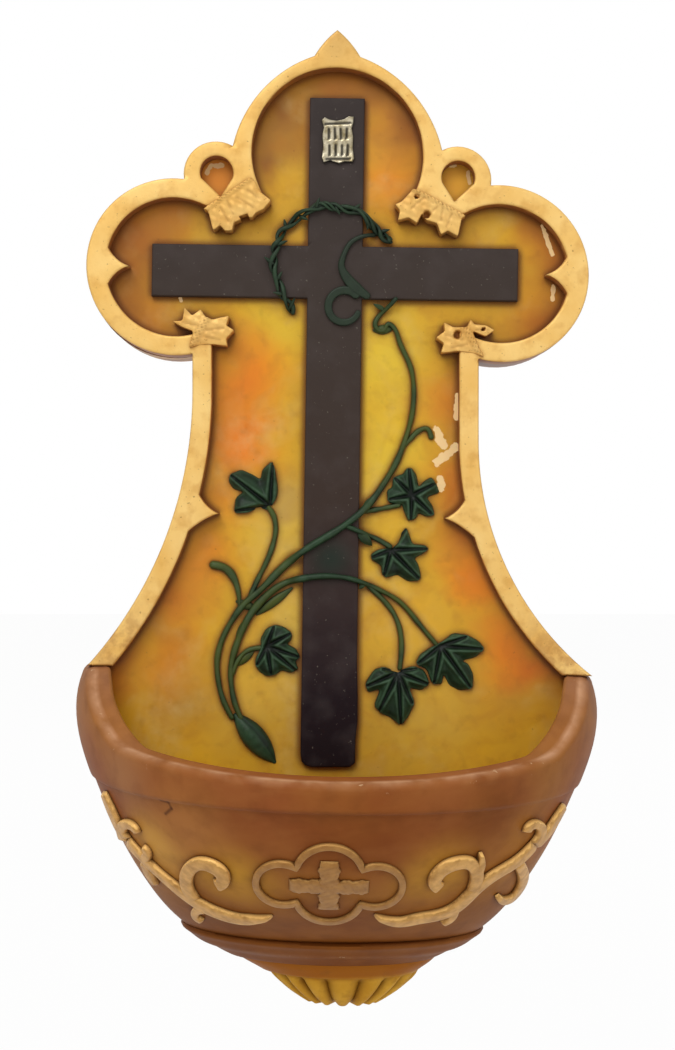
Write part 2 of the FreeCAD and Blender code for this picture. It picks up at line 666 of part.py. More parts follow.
def joined(shapes):
    """One solid of several that grow into one another."""
    whole = shapes[0]
    for shape in shapes[1:]:
        whole = whole.fuse(shape)
    return whole


def smooth_ribbon(spots, widths):
    """Face of a ribbon of changing width along hand-drawn spots."""
    flat = Part.BSplineCurve()
    flat.interpolate([V(x, 0, z) for x, z in spots])
    first = flat.FirstParameter
    span = flat.LastParameter - first
    count = ribbon_steps * len(spots)
    left = []
    right = []
    for step in range(count + 1):
        share = step / count
        here = flat.value(first + span * share)
        along = flat.tangent(first + span * share)[0]
        reach = 0.5 * share_of(widths, share)
        left.append(V(here.x - along.z * reach, 0, here.z + along.x * reach))
        right.append(V(here.x + along.z * reach, 0, here.z - along.x * reach))
    sides = []
    for row in (left, right):
        curve = Part.BSplineCurve()
        curve.interpolate(row)
        sides.append(curve.toShape())
    ends = [Part.makeLine(left[0], right[0]), Part.makeLine(left[-1], right[-1])]
    return Part.Face(Part.Wire(Part.__sortEdges__(sides + ends)))


def share_of(values, share):
    """Value at a share of the way along evenly spaced values."""
    place = share * (len(values) - 1)
    index = min(int(place), len(values) - 2)
    return values[index] + (values[index + 1] - values[index]) * (place - index)


def make_wreath(cross):
    """Open ring of twig that lies over the crossing of the cross."""
    spots = []
    span = wreath_start_angle - wreath_end_angle
    for step in range(wreath_steps + 1):
        angle = wreath_start_angle - span * step / wreath_steps
        spots.append(on_circle(wreath_centre, wreath_radius, angle))
    return above_panel(stem(spots, wreath_tube_radius), cross)


def make_tendril(cross):
    """Tendril that runs down the crossing, and its coil."""
    run = above_panel(stem(tendril, tendril_tube_radius), cross)
    spots = []
    for step in range(coil_steps + 1):
        share = step / coil_steps
        angle = curl_start_angle + curl_turn * share
        radius = curl_start_radius + (curl_end_radius - curl_start_radius) * share
        spots.append(on_circle(curl_centre, radius, angle))
    coil = above_panel(stem(spots, tendril_tube_radius), cross)
    return run, coil


def make_stalks(cross):
    """Stalks of the vine by name, each less those that were laid on before it."""
    stalks = {}
    for name, spots in stalk_runs.items():
        radius = stem_radius if name in main_stalks else twig_radius
        whole = above_panel(stem(spots, radius), cross)
        stalks[name] = less(whole, stalks.values())
    return stalks


def raised(outline, back, front):
    """Flat-faced solid over an outline of the front."""
    spots = [V(x, back, z) for x, z in outline]
    face = Part.Face(Part.makePolygon(spots + spots[:1]))
    return face.extrude(V(0, front - back, 0))


def make_bud(stalks):
    """Pointed bud at the foot of the vine, half of it above the panel."""
    start = V(bud_start[0], panel_front, bud_start[1])
    along = V(bud_end[0], panel_front, bud_end[1]) - start
    rings = []
    for index, share in enumerate(bud_profile):
        centre = start + along * (index / (len(bud_profile) - 1))
        rings.append(ring_round(centre, along, bud_radius * share))
    bud = Part.makeLoft(rings, True, False, False, stem_degree)
    return less(bud, [half_space_behind_panel()] + stalks)


def quatrefoil(inset):
    """Face of the four-lobed medallion, drawn in by inset."""
    x, z = medallion_centre
    reach_x = medallion_half_width - inset
    reach_z = medallion_half_height - inset
    corner_x = medallion_half_width * medallion_corner[0] - inset * medallion_corner_inset
    corner_z = medallion_half_height * medallion_corner[1] - inset * medallion_corner_inset
    steps = [((x, z + reach_z), (x + corner_x, z + corner_z)),
             ((x + reach_x, z), (x + corner_x, z - corner_z)),
             ((x, z - reach_z), (x - corner_x, z - corner_z)),
             ((x - reach_x, z), (x - corner_x, z + corner_z))]
    return Part.Face(Part.Wire(drawn((x - corner_x, z + corner_z), steps, placed)))


def relief_skin():
    """Layer over the body of the bowl in which its ornaments are modelled."""
    sections = body_with_step()
    return half_round(sections, relief_height).cut(half_round(sections))


def on_bowl(faces, skin):
    """Relief on the bowl over one or more faces of the front, turned with the bowl."""
    prism = joined([face.extrude(V(0, -tool_size, 0)) for face in faces])
    return turned(main_solid(prism.common(skin)))


def medallion_cross_faces():
    """Faces of the two arms of the small cross in the medallion."""
    x, z = medallion_centre
    arms = ((medallion_cross_width, medallion_cross_height),
            (medallion_cross_span, medallion_beam_width))
    faces = []
    for width, height in arms:
        spots = [V(x + u * width, 0, z + v * height)
                 for u, v in ((-0.5, -0.5), (0.5, -0.5), (0.5, 0.5), (-0.5, 0.5), (-0.5, -0.5))]
        faces.append(Part.Face(Part.makePolygon(spots)))
    return faces


def keyhole_face(y, grow):
    """Face of the keyhole in the plane y: a round mouth with a slot upwards."""
    radius = keyhole_radius + grow
    half = keyhole_slot_width / 2 + grow
    rise = math.sqrt(radius ** 2 - half ** 2)
    top = keyhole_slot_length
    start = (half, rise)
    steps = [((half, top),), ((0.0, top + half), (-half, top)), ((-half, rise),),
             ((0.0, -radius), start)]
    return Part.Face(Part.Wire(drawn(start, steps, lambda spot: placed(spot, y))))


def hanger_blank(grow):
    """Plate of the hanger without its holes, or with grow the pocket for it."""
    width = hanger_width + 2 * grow
    height = hanger_height + 2 * grow
    low = V(-width / 2, -hanger_thickness, hanger_centre_z - height / 2)
    blank = Part.makeBox(width, hanger_thickness, height, low)
    corners = [edge for edge in blank.Edges if edge.Vertexes[0].X == edge.Vertexes[-1].X
               and edge.Vertexes[0].Z == edge.Vertexes[-1].Z]
    return blank.makeFillet(hanger_corner + grow, corners)


def screws(clearance):
    """The two countersunk screws of the hanger, or with a clearance their holes."""
    solids = []
    for side in (-1, 1):
        place = V(side * screw_spacing / 2, 0, hanger_centre_z)
        shank = Part.makeCylinder(screw_radius + clearance, screw_length + clearance,
                                  place, V(0, -1, 0))
        head = Part.makeCone(screw_head_radius + clearance, screw_radius + clearance,
                             screw_head_height, place, V(0, -1, 0))
        solids.append(shank.fuse(head).removeSplitter())
    return solids


def make_hanger():
    """Keyhole plate let into the back, with countersunk holes for its screws."""
    hanger = hanger_blank(0.0)
    hanger = hanger.cut(keyhole_face(0.0, 0.0).extrude(V(0, -hanger_thickness, 0)))
    for screw in screws(0.0):
        hanger = hanger.cut(screw)
    return hanger


def make_panel(frame, hollow):
    """Panel: the plate, its tongue inside the bowl, and the seats of what it carries."""
    panel = slab(plate_face(), 0.0, panel_front)
    backing = Part.makeBox(tool_size, panel_thickness, tool_size,
                           V(-tool_size / 2, panel_front, seat_z - tool_size))
    panel = panel.fuse(turned(hollow.common(backing))).removeSplitter()
    panel = panel.cut(frame).cut(hanger_blank(screw_clearance))
    pocket = keyhole_face(-hanger_thickness, head_pocket_margin)
    panel = panel.cut(pocket.extrude(V(0, -head_pocket_depth, 0)))
    for tool in screws(screw_clearance) + cross_pegs(screw_clearance):
        panel = panel.cut(tool)
    return panel


def build():
    """All the pieces of the stoup, by node name."""
    nodes = {}
    frame = slab(frame_face(), panel_front + frame_rebate, frame_front)
    hollow = bowl_hollow()
    cross = make_cross()
    nodes["back_panel"] = make_panel(frame, hollow)
    nodes["gilt_frame"] = frame
    nodes["stoup_bowl"] = make_bowl(hollow)
    nodes["base_ring"] = make_ring()
    nodes["fluted_pendant"] = make_pendant()
    nodes["cross"] = cross
    nodes["title_plaque"] = make_plaque()
    wreath = make_wreath(cross)
    tendril_run, tendril_coil = make_tendril(cross)
    nodes["wreath"] = wreath
    nodes["tendril_run"] = less(tendril_run, [wreath])
    nodes["tendril_coil"] = less(tendril_coil, [tendril_run])
    stalks = make_stalks(cross)
    nodes.update(stalks)
    nodes["flower_bud"] = make_bud([stalks[name] for name in main_stalks])
    for name, outline in leaf_outlines.items():
        leaf = raised(outline, panel_front, panel_front - leaf_thickness)
        nodes[name] = less(leaf, stalks.values())
    nodes["ivy_leaf_6"] = less(nodes["ivy_leaf_6"], [nodes["ivy_leaf_5"]])
    for name, outline in sprig_outlines.items():
        sprig = raised(outline, panel_front, frame_front - sprig_proud)
        nodes[name] = main_solid(sprig.cut(frame))
    skin = relief_skin()
    ring = quatrefoil(0.0).cut(quatrefoil(medallion_band))
    nodes["medallion_border"] = on_bowl([ring], skin)
    nodes["medallion_cross"] = on_bowl(medallion_cross_faces(), skin)
    for name, ribbons in scroll_ribbons.items():
        faces = [smooth_ribbon(spots, widths) for spots, widths in ribbons]
        nodes[name] = on_bowl(faces, skin)
    nodes["keyhole_hanger"] = make_hanger()
    nodes["hanger_screws"] = Part.makeCompound(screws(0.0))
    return nodes


def main():
    """Write one STEP file per piece."""
    os.makedirs("parts", exist_ok=True)
    for name, shape in build().items():
        shape.exportStep("parts/" + name + ".step")


main()
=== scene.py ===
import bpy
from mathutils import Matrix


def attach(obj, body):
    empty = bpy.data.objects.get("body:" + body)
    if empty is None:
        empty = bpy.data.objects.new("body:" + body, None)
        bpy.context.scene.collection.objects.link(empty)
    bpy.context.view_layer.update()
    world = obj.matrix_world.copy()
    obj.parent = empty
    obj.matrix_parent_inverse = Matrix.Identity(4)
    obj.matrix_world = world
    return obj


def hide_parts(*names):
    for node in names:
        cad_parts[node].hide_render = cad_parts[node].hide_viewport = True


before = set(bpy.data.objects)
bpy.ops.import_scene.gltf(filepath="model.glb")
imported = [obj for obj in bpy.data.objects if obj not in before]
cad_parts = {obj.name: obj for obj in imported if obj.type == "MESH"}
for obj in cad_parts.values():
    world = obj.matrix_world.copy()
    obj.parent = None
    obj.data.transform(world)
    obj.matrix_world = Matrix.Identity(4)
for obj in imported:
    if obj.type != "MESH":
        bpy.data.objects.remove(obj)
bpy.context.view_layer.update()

import math

import bmesh
import bpy
import numpy as np
from mathutils import Vector
from mathutils.geometry import delaunay_2d_cdt

# A wall stoup for holy water: a clouded amber plate with a gilt border, a painted cross
# twined with ivy, and a half-round bowl under it. The wall is the plane y = 0 and the
# front faces -Y. Sizes are in millimetres and become metres when a mesh is made; what a
# material compares with Object coordinates is in metres.

metre = 0.001

plate = {
    "front": -9.5,          # face of the amber plate
    "borderFront": -13.5,   # face of the gilt border
    "seat": -93.5,          # where the plate meets the rim of the bowl
    "skew": 1.2,            # degrees by which the casting drops to the right
}

print("stage: helpers")


def linearColour(code, alpha=1.0):
    # sRGB hex to linear light: c / 12.92 below 0.04045, else ((c + 0.055) / 1.055) ^ 2.4
    parts = [int(code[i:i + 2], 16) / 255 for i in (1, 3, 5)]
    return tuple(c / 12.92 if c <= 0.04045 else ((c + 0.055) / 1.055) ** 2.4 for c in parts) + (alpha,)


def addNode(tree, kind, settings=None, inputs=None):
    # one node, its settings, and for each input a value or the socket that feeds it
    node = tree.nodes.new(kind)
    for key, value in (settings or {}).items():
        if key == "ramp":
            stops = node.color_ramp.elements
            while len(stops) < len(value):
                stops.new(1.0)
            for stop, (place, code) in zip(stops, value):
                stop.position = place
                stop.color = linearColour(code)
        else:
            setattr(node, key, value)
    for key, value in (inputs or {}).items():
        if isinstance(value, bpy.types.NodeSocket):
            tree.links.new(value, node.inputs[key])
        else:
            node.inputs[key].default_value = value
    return node


def startMaterial(name, roughness, metallic=0.0, ior=1.5, gloss=0.2):
    # a material with its plain settings, and the Object coordinates that its patterns read
    material = bpy.data.materials.new(name)
    material.use_nodes = True
    tree = material.node_tree
    shader = tree.nodes["Principled BSDF"]
    shader.inputs["Roughness"].default_value = roughness
    shader.inputs["Metallic"].default_value = metallic
    shader.inputs["IOR"].default_value = ior
    shader.inputs["Specular IOR Level"].default_value = gloss
    place = addNode(tree, "ShaderNodeTexCoord").outputs["Object"]
    return material, tree, shader, place


def overlap(tree, *masks):
    # masks and shares multiplied together
    whole = masks[0]
    for mask in masks[1:]:
        whole = addNode(tree, "ShaderNodeMath", {"operation": "MULTIPLY"}, {0: whole, 1: mask}).outputs[0]
    return whole


def coat(tree, under, over, *masks, mode="MIX"):
    # one coat laid over what is under it, as strong as its masks and shares together; each
    # colour is an sRGB code or a socket
    under, over = (linearColour(c) if isinstance(c, str) else c for c in (under, over))
    return addNode(tree, "ShaderNodeMix", {"data_type": "RGBA", "blend_type": mode},
                   {0: overlap(tree, *masks), 6: under, 7: over}).outputs[2]


def grainBump(tree, shader, place, layers):
    # each layer is (size in mm, height in mm); the layers are chained bump nodes
    normal = None
    for size, height in layers:
        noise = addNode(tree, "ShaderNodeTexNoise", None,
                        {"Vector": place, "Scale": 1000.0 / size, "Detail": 4.0})
        feeds = {"Height": noise.outputs["Fac"], "Distance": height * metre, "Strength": 1.0}
        if normal is not None:
            feeds["Normal"] = normal
        normal = addNode(tree, "ShaderNodeBump", None, feeds).outputs["Normal"]
    tree.links.new(normal, shader.inputs["Normal"])


def noiseMask(tree, place, size, low, high, detail=3.0):
    # noise of that grain in mm, stretched so that low becomes 0 and high becomes 1
    noise = addNode(tree, "ShaderNodeTexNoise", None,
                    {"Vector": place, "Scale": 1000.0 / size, "Detail": detail})
    spread = addNode(tree, "ShaderNodeMapRange", {"clamp": True},
                     {"Value": noise.outputs["Fac"], "From Min": low, "From Max": high})
    return spread.outputs["Result"]


def spotMask(tree, place, centre, reach):
    # 1 at a centre given in mm, fading smoothly to 0 at the reach
    away = addNode(tree, "ShaderNodeVectorMath", {"operation": "DISTANCE"},
                   {0: place, 1: tuple(c * metre for c in centre)})
    fade = addNode(tree, "ShaderNodeMapRange", {"interpolation_type": "SMOOTHSTEP"},
                   {"Value": away.outputs["Value"], "From Min": reach * metre, "From Max": 0.0})
    return fade.outputs["Result"]


def hollowShadeMask(tree, reach, deepest=0.42):
    # 0 in the open, rising to 1 in creases and beside raised work within the reach in mm,
    # for painting shade there; deepest is the share of open sky at which it is 1
    clear = addNode(tree, "ShaderNodeAmbientOcclusion", {"samples": 8},
                    {"Distance": reach * metre}).outputs["AO"]
    closed = addNode(tree, "ShaderNodeMapRange", {"clamp": True},
                     {"Value": clear, "From Min": 0.98, "From Max": deepest})
    return closed.outputs["Result"]


def runMask(tree, place, start, end, radius):
    # 1 on the straight run between two spots in mm, fading to 0 at the radius from it
    first = Vector(start) * metre
    run = Vector(end) * metre - first
    arm = addNode(tree, "ShaderNodeVectorMath", {"operation": "SUBTRACT"},
                  {0: place, 1: tuple(first)}).outputs[0]
    reach = addNode(tree, "ShaderNodeVectorMath", {"operation": "DOT_PRODUCT"},
                    {0: arm, 1: tuple(run / run.length_squared)}).outputs["Value"]
    share = addNode(tree, "ShaderNodeClamp", None, {0: reach}).outputs[0]
    foot = addNode(tree, "ShaderNodeVectorMath", {"operation": "SCALE"},
                   {0: tuple(run), "Scale": share}).outputs[0]
    away = addNode(tree, "ShaderNodeVectorMath", {"operation": "DISTANCE"},
                   {0: arm, 1: foot}).outputs["Value"]
    return addNode(tree, "ShaderNodeMapRange", {"clamp": True},
                   {"Value": away, "From Min": radius * metre, "From Max": 0.0}).outputs["Result"]


def gridQuads(rows, columns, loopRows=False, loopColumns=False):
    # the squares of a grid of points numbered row by row
    r = np.arange(rows if loopRows else rows - 1)
    c = np.arange(columns if loopColumns else columns - 1)
    r, c = np.meshgrid(r, c, indexing="ij")
    nextR, nextC = (r + 1) % rows, (c + 1) % columns
    quads = np.stack([r * columns + c, r * columns + nextC, nextR * columns + nextC, nextR * columns + c], -1)
    return quads.reshape(-1, 4)


def meshPiece(name, groups, values=None):
    # groups are (points, faces) in mm; equal points are merged and all faces turned outwards
    points, faces, start = [], [], 0
    for spots, parts in groups:
        points.append(np.asarray(spots, float).reshape(-1, 3))
        faces += [[int(k) + start for k in face] for face in parts]
        start += len(points[-1])
    points = np.concatenate(points)
    mesh = bpy.data.meshes.new(name)
    mesh.from_pydata((points * metre).tolist(), [], faces)
    for key, numbers in (values or {}).items():
        layer = mesh.attributes.new(key, "FLOAT", "POINT")
        layer.data.foreach_set("value", np.asarray(numbers, np.float32).ravel())
    work = bmesh.new()
    work.from_mesh(mesh)
    bmesh.ops.remove_doubles(work, verts=work.verts, dist=1e-6)
    bmesh.ops.dissolve_degenerate(work, edges=work.edges, dist=1e-7)
    bmesh.ops.recalc_face_normals(work, faces=work.faces)
    work.to_mesh(mesh)
    work.free()
    mesh.shade_smooth()
    piece = bpy.data.objects.new(name, mesh)
    bpy.context.scene.collection.objects.link(piece)
    return piece


def dress(piece, material, nodes):
    piece.data.materials.clear()
    piece.data.materials.append(material)
    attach(piece, "root")
    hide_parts(*nodes)
    return piece


def sharpen(piece, degrees):
    # keep edges crisp where faces turn by more than this
    piece.data.set_sharp_from_angle(angle=math.radians(degrees))


def throughSpots(spots, count):
    # smooth curve through the given spots: a natural cubic spline over the chord lengths,
    # read at evenly spaced lengths
    spots = np.asarray(spots, float)
    knots = np.concatenate([[0], np.cumsum(np.linalg.norm(np.diff(spots, axis=0), axis=1))])
    gaps = np.diff(knots)
    size = len(spots)
    system = np.eye(size)
    right = np.zeros_like(spots)
    inner = np.arange(1, size - 1)
    system[inner, inner - 1] = gaps[:-1]
    system[inner, inner] = 2 * (gaps[:-1] + gaps[1:])
    system[inner, inner + 1] = gaps[1:]
    slopes = np.diff(spots, axis=0) / gaps[:, None]
    right[1:-1] = 6 * np.diff(slopes, axis=0)
    bend = np.linalg.solve(system, right)

    def read(t):
        k = np.clip(np.searchsorted(knots, t, side="right") - 1, 0, size - 2)
        g = gaps[k][:, None]
        a, b = knots[k + 1][:, None] - t[:, None], t[:, None] - knots[k][:, None]
        return (bend[k] * a ** 3 + bend[k + 1] * b ** 3) / (6 * g) \
            + (spots[k] / g - bend[k] * g / 6) * a + (spots[k + 1] / g - bend[k + 1] * g / 6) * b

    fine = read(np.linspace(0, knots[-1], 400))
    run = np.concatenate([[0], np.cumsum(np.linalg.norm(np.diff(fine, axis=0), axis=1))])
    even = np.interp(np.linspace(0, run[-1], count), run, np.linspace(0, knots[-1], 400))
    return read(even)


def alongShares(values, count):
    # evenly spaced values read at count places
    return np.interp(np.linspace(0, 1, count), np.linspace(0, 1, len(values)), values)


def sideways(path):
    # unit vectors along a path, towards the front across it, and to its side
    along = np.gradient(path, axis=0)
    along /= np.linalg.norm(along, axis=1)[:, None]
    front = np.array([0.0, -1.0, 0.0]) - along * (along @ np.array([0.0, -1.0, 0.0]))[:, None]
    front /= np.linalg.norm(front, axis=1)[:, None]
    return along, front, np.cross(along, front)


def twigTube(path, radii, sides=14):
    # circle of the given radius carried along the path, closed by a rounded cap at each end
    path, radii = np.asarray(path, float), np.asarray(radii, float)
    along, front, side = sideways(path)
    caps = np.sin(np.linspace(0, math.pi / 2, 5))[:, None]
    shrink = np.cos(np.linspace(0, math.pi / 2, 5))[:, None]
    head = path[0] - along[0] * radii[0] * caps[::-1]
    tail = path[-1] + along[-1] * radii[-1] * caps
    line = np.concatenate([head[:-1], path, tail[1:]])
    size = np.concatenate([radii[0] * shrink[::-1][:-1, 0], radii, radii[-1] * shrink[1:, 0]])
    front = np.concatenate([np.repeat(front[:1], 4, 0), front, np.repeat(front[-1:], 4, 0)])
    side = np.concatenate([np.repeat(side[:1], 4, 0), side, np.repeat(side[-1:], 4, 0)])
    turn = np.linspace(0, 2 * math.pi, sides, endpoint=False)[None, :, None]
    ring = front[:, None] * np.cos(turn) + side[:, None] * np.sin(turn)
    points = line[:, None] + ring * np.maximum(size, 1e-6)[:, None, None]
    return points.reshape(-1, 3), gridQuads(len(line), sides, loopColumns=True)


def skewDrop(x, z):
    # the drop of the casting to the right
    return z - x * math.tan(math.radians(plate["skew"]))


def turnedWithBowl(points):
    # the bowl and what is under it turn by the skew about the middle of the seat
    angle = math.radians(plate["skew"])
    points = np.array(points, float)
    x, z = points[..., 0].copy(), points[..., 2] - plate["seat"]
    points[..., 0] = x * math.cos(angle) + z * math.sin(angle)
    points[..., 2] = plate["seat"] - x * math.sin(angle) + z * math.cos(angle)
    return points


def insideOutline(points, outline):
    # even-odd test of points against a closed outline
    x, z = points[:, 0][:, None], points[:, 1][:, None]
    a, b = outline, np.roll(outline, -1, 0)
    crosses = (a[:, 1] > z) != (b[:, 1] > z)
    rise = np.where(b[:, 1] == a[:, 1], 1e-12, b[:, 1] - a[:, 1])
    return (np.sum(crosses & (x < a[:, 0] + (z - a[:, 1]) * (b[:, 0] - a[:, 0]) / rise), 1) % 2) == 1


def awayFromRuns(points, starts, ends):
    # shortest distance from points to a set of straight runs
    best = np.full(len(points), 1e9)
    for a, b in zip(starts, ends):
        run = b - a
        share = np.clip(((points - a) @ run) / max(run @ run, 1e-12), 0, 1)
        best = np.minimum(best, np.linalg.norm(points - a - share[:, None] * run, axis=1))
    return best


def evenOutline(outline, spacing):
    # closed outline cut into runs no longer than the spacing, corners kept
    rows = []
    for a, b in zip(outline, np.roll(outline, -1, 0)):
        steps = max(1, int(math.ceil(np.linalg.norm(b - a) / spacing)))
        rows.append(a + (b - a) * (np.arange(steps) / steps)[:, None])
    return np.concatenate(rows)


def reliefPlate(outlines, back, heightOf, spacing, rounding):
    # plate over one outline less its holes: its front stands heightOf(x, z, edge distance)
    # before the depth back, which is flat. The front is a triangulated field of points with
    # close rows beside the edge, so that the edge can be rounded.
    loops = [evenOutline(np.asarray(loop, float), spacing) for loop in outlines]
    border = np.concatenate(loops)
    runs, first = [], 0
    for loop in loops:
        index = np.arange(len(loop)) + first
        runs += list(zip(index.tolist(), np.roll(index, -1).tolist()))
        first += len(loop)
    starts = border[[a for a, _ in runs]]
    ends = border[[b for _, b in runs]]

    def within(spots):
        inside = insideOutline(spots, loops[0])
        for loop in loops[1:]:
            inside &= ~insideOutline(spots, loop)
        return inside

    fields = []
    for loop in loops:
        after = np.roll(loop, -1, 0) - loop
        after /= np.linalg.norm(after, axis=1)[:, None]
        across = np.stack([after[:, 1], -after[:, 0]], -1)
        mitre = across + np.roll(across, 1, 0)
        mitre *= (2 / np.maximum(np.sum(mitre * mitre, 1), 0.8))[:, None]
        for depth in (0.12, 0.35, 0.7, 1.0):
            for sign in (-1, 1):
                spots = loop + mitre * sign * rounding * depth
                spots = spots[within(spots)]
                fields.append(spots[awayFromRuns(spots, starts, ends) > rounding * depth * 0.93])
    low, high = border.min(0), border.max(0)
    gx, gz = np.meshgrid(np.arange(low[0], high[0], spacing), np.arange(low[1], high[1], spacing * 0.87))
    gx[1::2] += spacing / 2
    lattice = np.stack([gx.ravel(), gz.ravel()], -1)
    lattice = lattice[within(lattice)]
    fields.append(lattice[awayFromRuns(lattice, starts, ends) > rounding + spacing * 0.45])
    spots = np.concatenate([border] + fields)
    solved = delaunay_2d_cdt([Vector(p) for p in spots.tolist()], runs, [], 0, 1e-5)
    flat = np.array([tuple(p) for p in solved[0]])
    faces = np.array([list(face) for face in solved[2]])
    faces = faces[within(flat[faces].mean(1))]
    edge = awayFromRuns(flat, starts, ends)
    height = heightOf(flat[:, 0], flat[:, 1], edge)
    curve = np.clip(edge / rounding, 0, 1)
    height = height - rounding * (1 - np.sqrt(np.clip(1 - (1 - curve) ** 2, 0, 1)))
    front = np.stack([flat[:, 0], back - height, flat[:, 1]], -1)
    rear = np.stack([flat[:, 0], np.full(len(flat), float(back)), flat[:, 1]], -1)
    count = len(flat)
    sides = {}
    for face in faces.tolist():
        for a, b in zip(face, face[1:] + face[:1]):
            if (b, a) in sides:
                del sides[(b, a)]
            else:
                sides[(a, b)] = True
    walls = [[b, a, a + count, b + count] for a, b in sides]
    allFaces = faces.tolist() + (faces[:, ::-1] + count).tolist() + walls
    return np.concatenate([front, rear]), allFaces, flat, edge


print("stage: finishes")

amber = {
    "name": "clouded amber casting resin",
    "base": "#D6A42C",
    # soft clouds of pigment: middle (x, z), reach and colour
    "clouds": (
        ((8, -28), 20, "#E3C03C"), ((10, -50), 18, "#E3BE3A"), ((-11, -22), 16, "#E3BA32"),
        ((-10, -62), 16, "#DFBA4C"), ((-20, -33), 15, "#E27B1F"), ((-20, -46), 13, "#E07F21"),
        ((24, -38), 12, "#D58127"), ((25, -56), 13, "#D17421"), ((32, -74), 16, "#DE8524"),
        ((12, 8), 13, "#E68B27"), ((11, 20), 11, "#CD8932"), ((0, 28), 16, "#A2611F"),
        ((-10, 18), 12, "#B5812E"), ((-15, 14), 8, "#9E6B27"), ((-40, -4), 15, "#AC651F"),
        ((-46, -12), 13, "#A05B1B"), ((-33, 2), 10, "#AC6924"), ((-38, -22), 12, "#BD751F"),
        ((46, -8), 14, "#A85D1D"), ((42, -22), 13, "#B56B1D"), ((44, 2), 11, "#AC6321"),
        ((30, -1), 10, "#DCAA32"), ((-24, -9), 10, "#D8AA3C"), ((23, 8), 6, "#DE9924"),
        ((-25, 9), 6, "#CE7822"), ((-36, -78), 14, "#CD7724"), ((-28, -70), 12, "#DA8726"),
        ((-22, -58), 10, "#E0912B"), ((-14, -98), 20, "#DCB046"), ((15, -102), 22, "#DAAE42"),
        ((-34, -98), 14, "#BE8B2B"), ((36, -98), 14, "#C18D2D"), ((0, -114), 30, "#BA902E"),
        ((-8, -84), 12, "#DEBA4A"), ((10, -70), 12, "#E2B639"), ((17, -84), 10, "#E0AC35")),
    "browns": (
        ((14, 19), 8, "#8E5218"), ((8, 27), 8, "#93581C"), ((-12, 22), 8, "#8E5A20"),
        ((-15, 10), 5, "#8A5A24"), ((-46, -2), 8, "#94501A"), ((-44, -20), 8, "#9C601E"),
        ((46, -2), 7, "#A4641E"), ((46, -22), 8, "#9C5818"), ((-47, -93), 9, "#C06A1C"),
        ((47, -95), 9, "#AE641C"), ((-11, -57), 7, "#C09A50"), ((27, -66), 8, "#CC7626"),
        ((34, -90), 10, "#DE7A1C"), ((40, -92), 8, "#CC6A18"), ((28, -76), 9, "#E8821E"),
        ((-35, -91), 10, "#CE801E"), ((-17, -44), 9, "#EC7C1C")),
    # painted light: the recessed ear holes are painted brighter orange than the plate so that they read as
    # lit: middle, reach and colour
    "litEars": (((-25, 8.5), 8, "#FFA236"), ((24.5, 7.5), 8, "#FFBE3C")),
    # flakes of gold paint that strayed on the face: from one spot to another, with a radius
    "flakes": (
        ((20.6, -43.9), (22.0, -46.9), 1.5), ((20.6, -50.7), (24.6, -47.4), 1.35),
        ((21.4, -54.2), (21.4, -56.2), 1.3), ((24.8, -36.6), (24.7, -41.4), 0.8),
        ((42.4, -1.6), (44.6, -7.6), 0.75), ((44.7, -14.2), (44.6, -16.8), 0.7),
        ((-32.6, -16.6), (-32.4, -17.0), 0.5), ((-27.2, 9.3), (-26.2, 10.9), 0.75),
        ((-26.0, 11.0), (-23.8, 10.9), 0.7), ((22.2, 10.9), (24.4, 11.0), 0.6),
        ((27.0, 9.5), (27.4, 7.4), 0.6), ((-3.6, -19.6), (-5.0, -21.4), 0.7)),
    "grain": ((26.0, 0.25), (5.0, 0.05), (0.9, 0.012)),
}


def onFace(spot):
    # a spot (x, z) of the face of the plate
    return spot[0], plate["front"], spot[1]


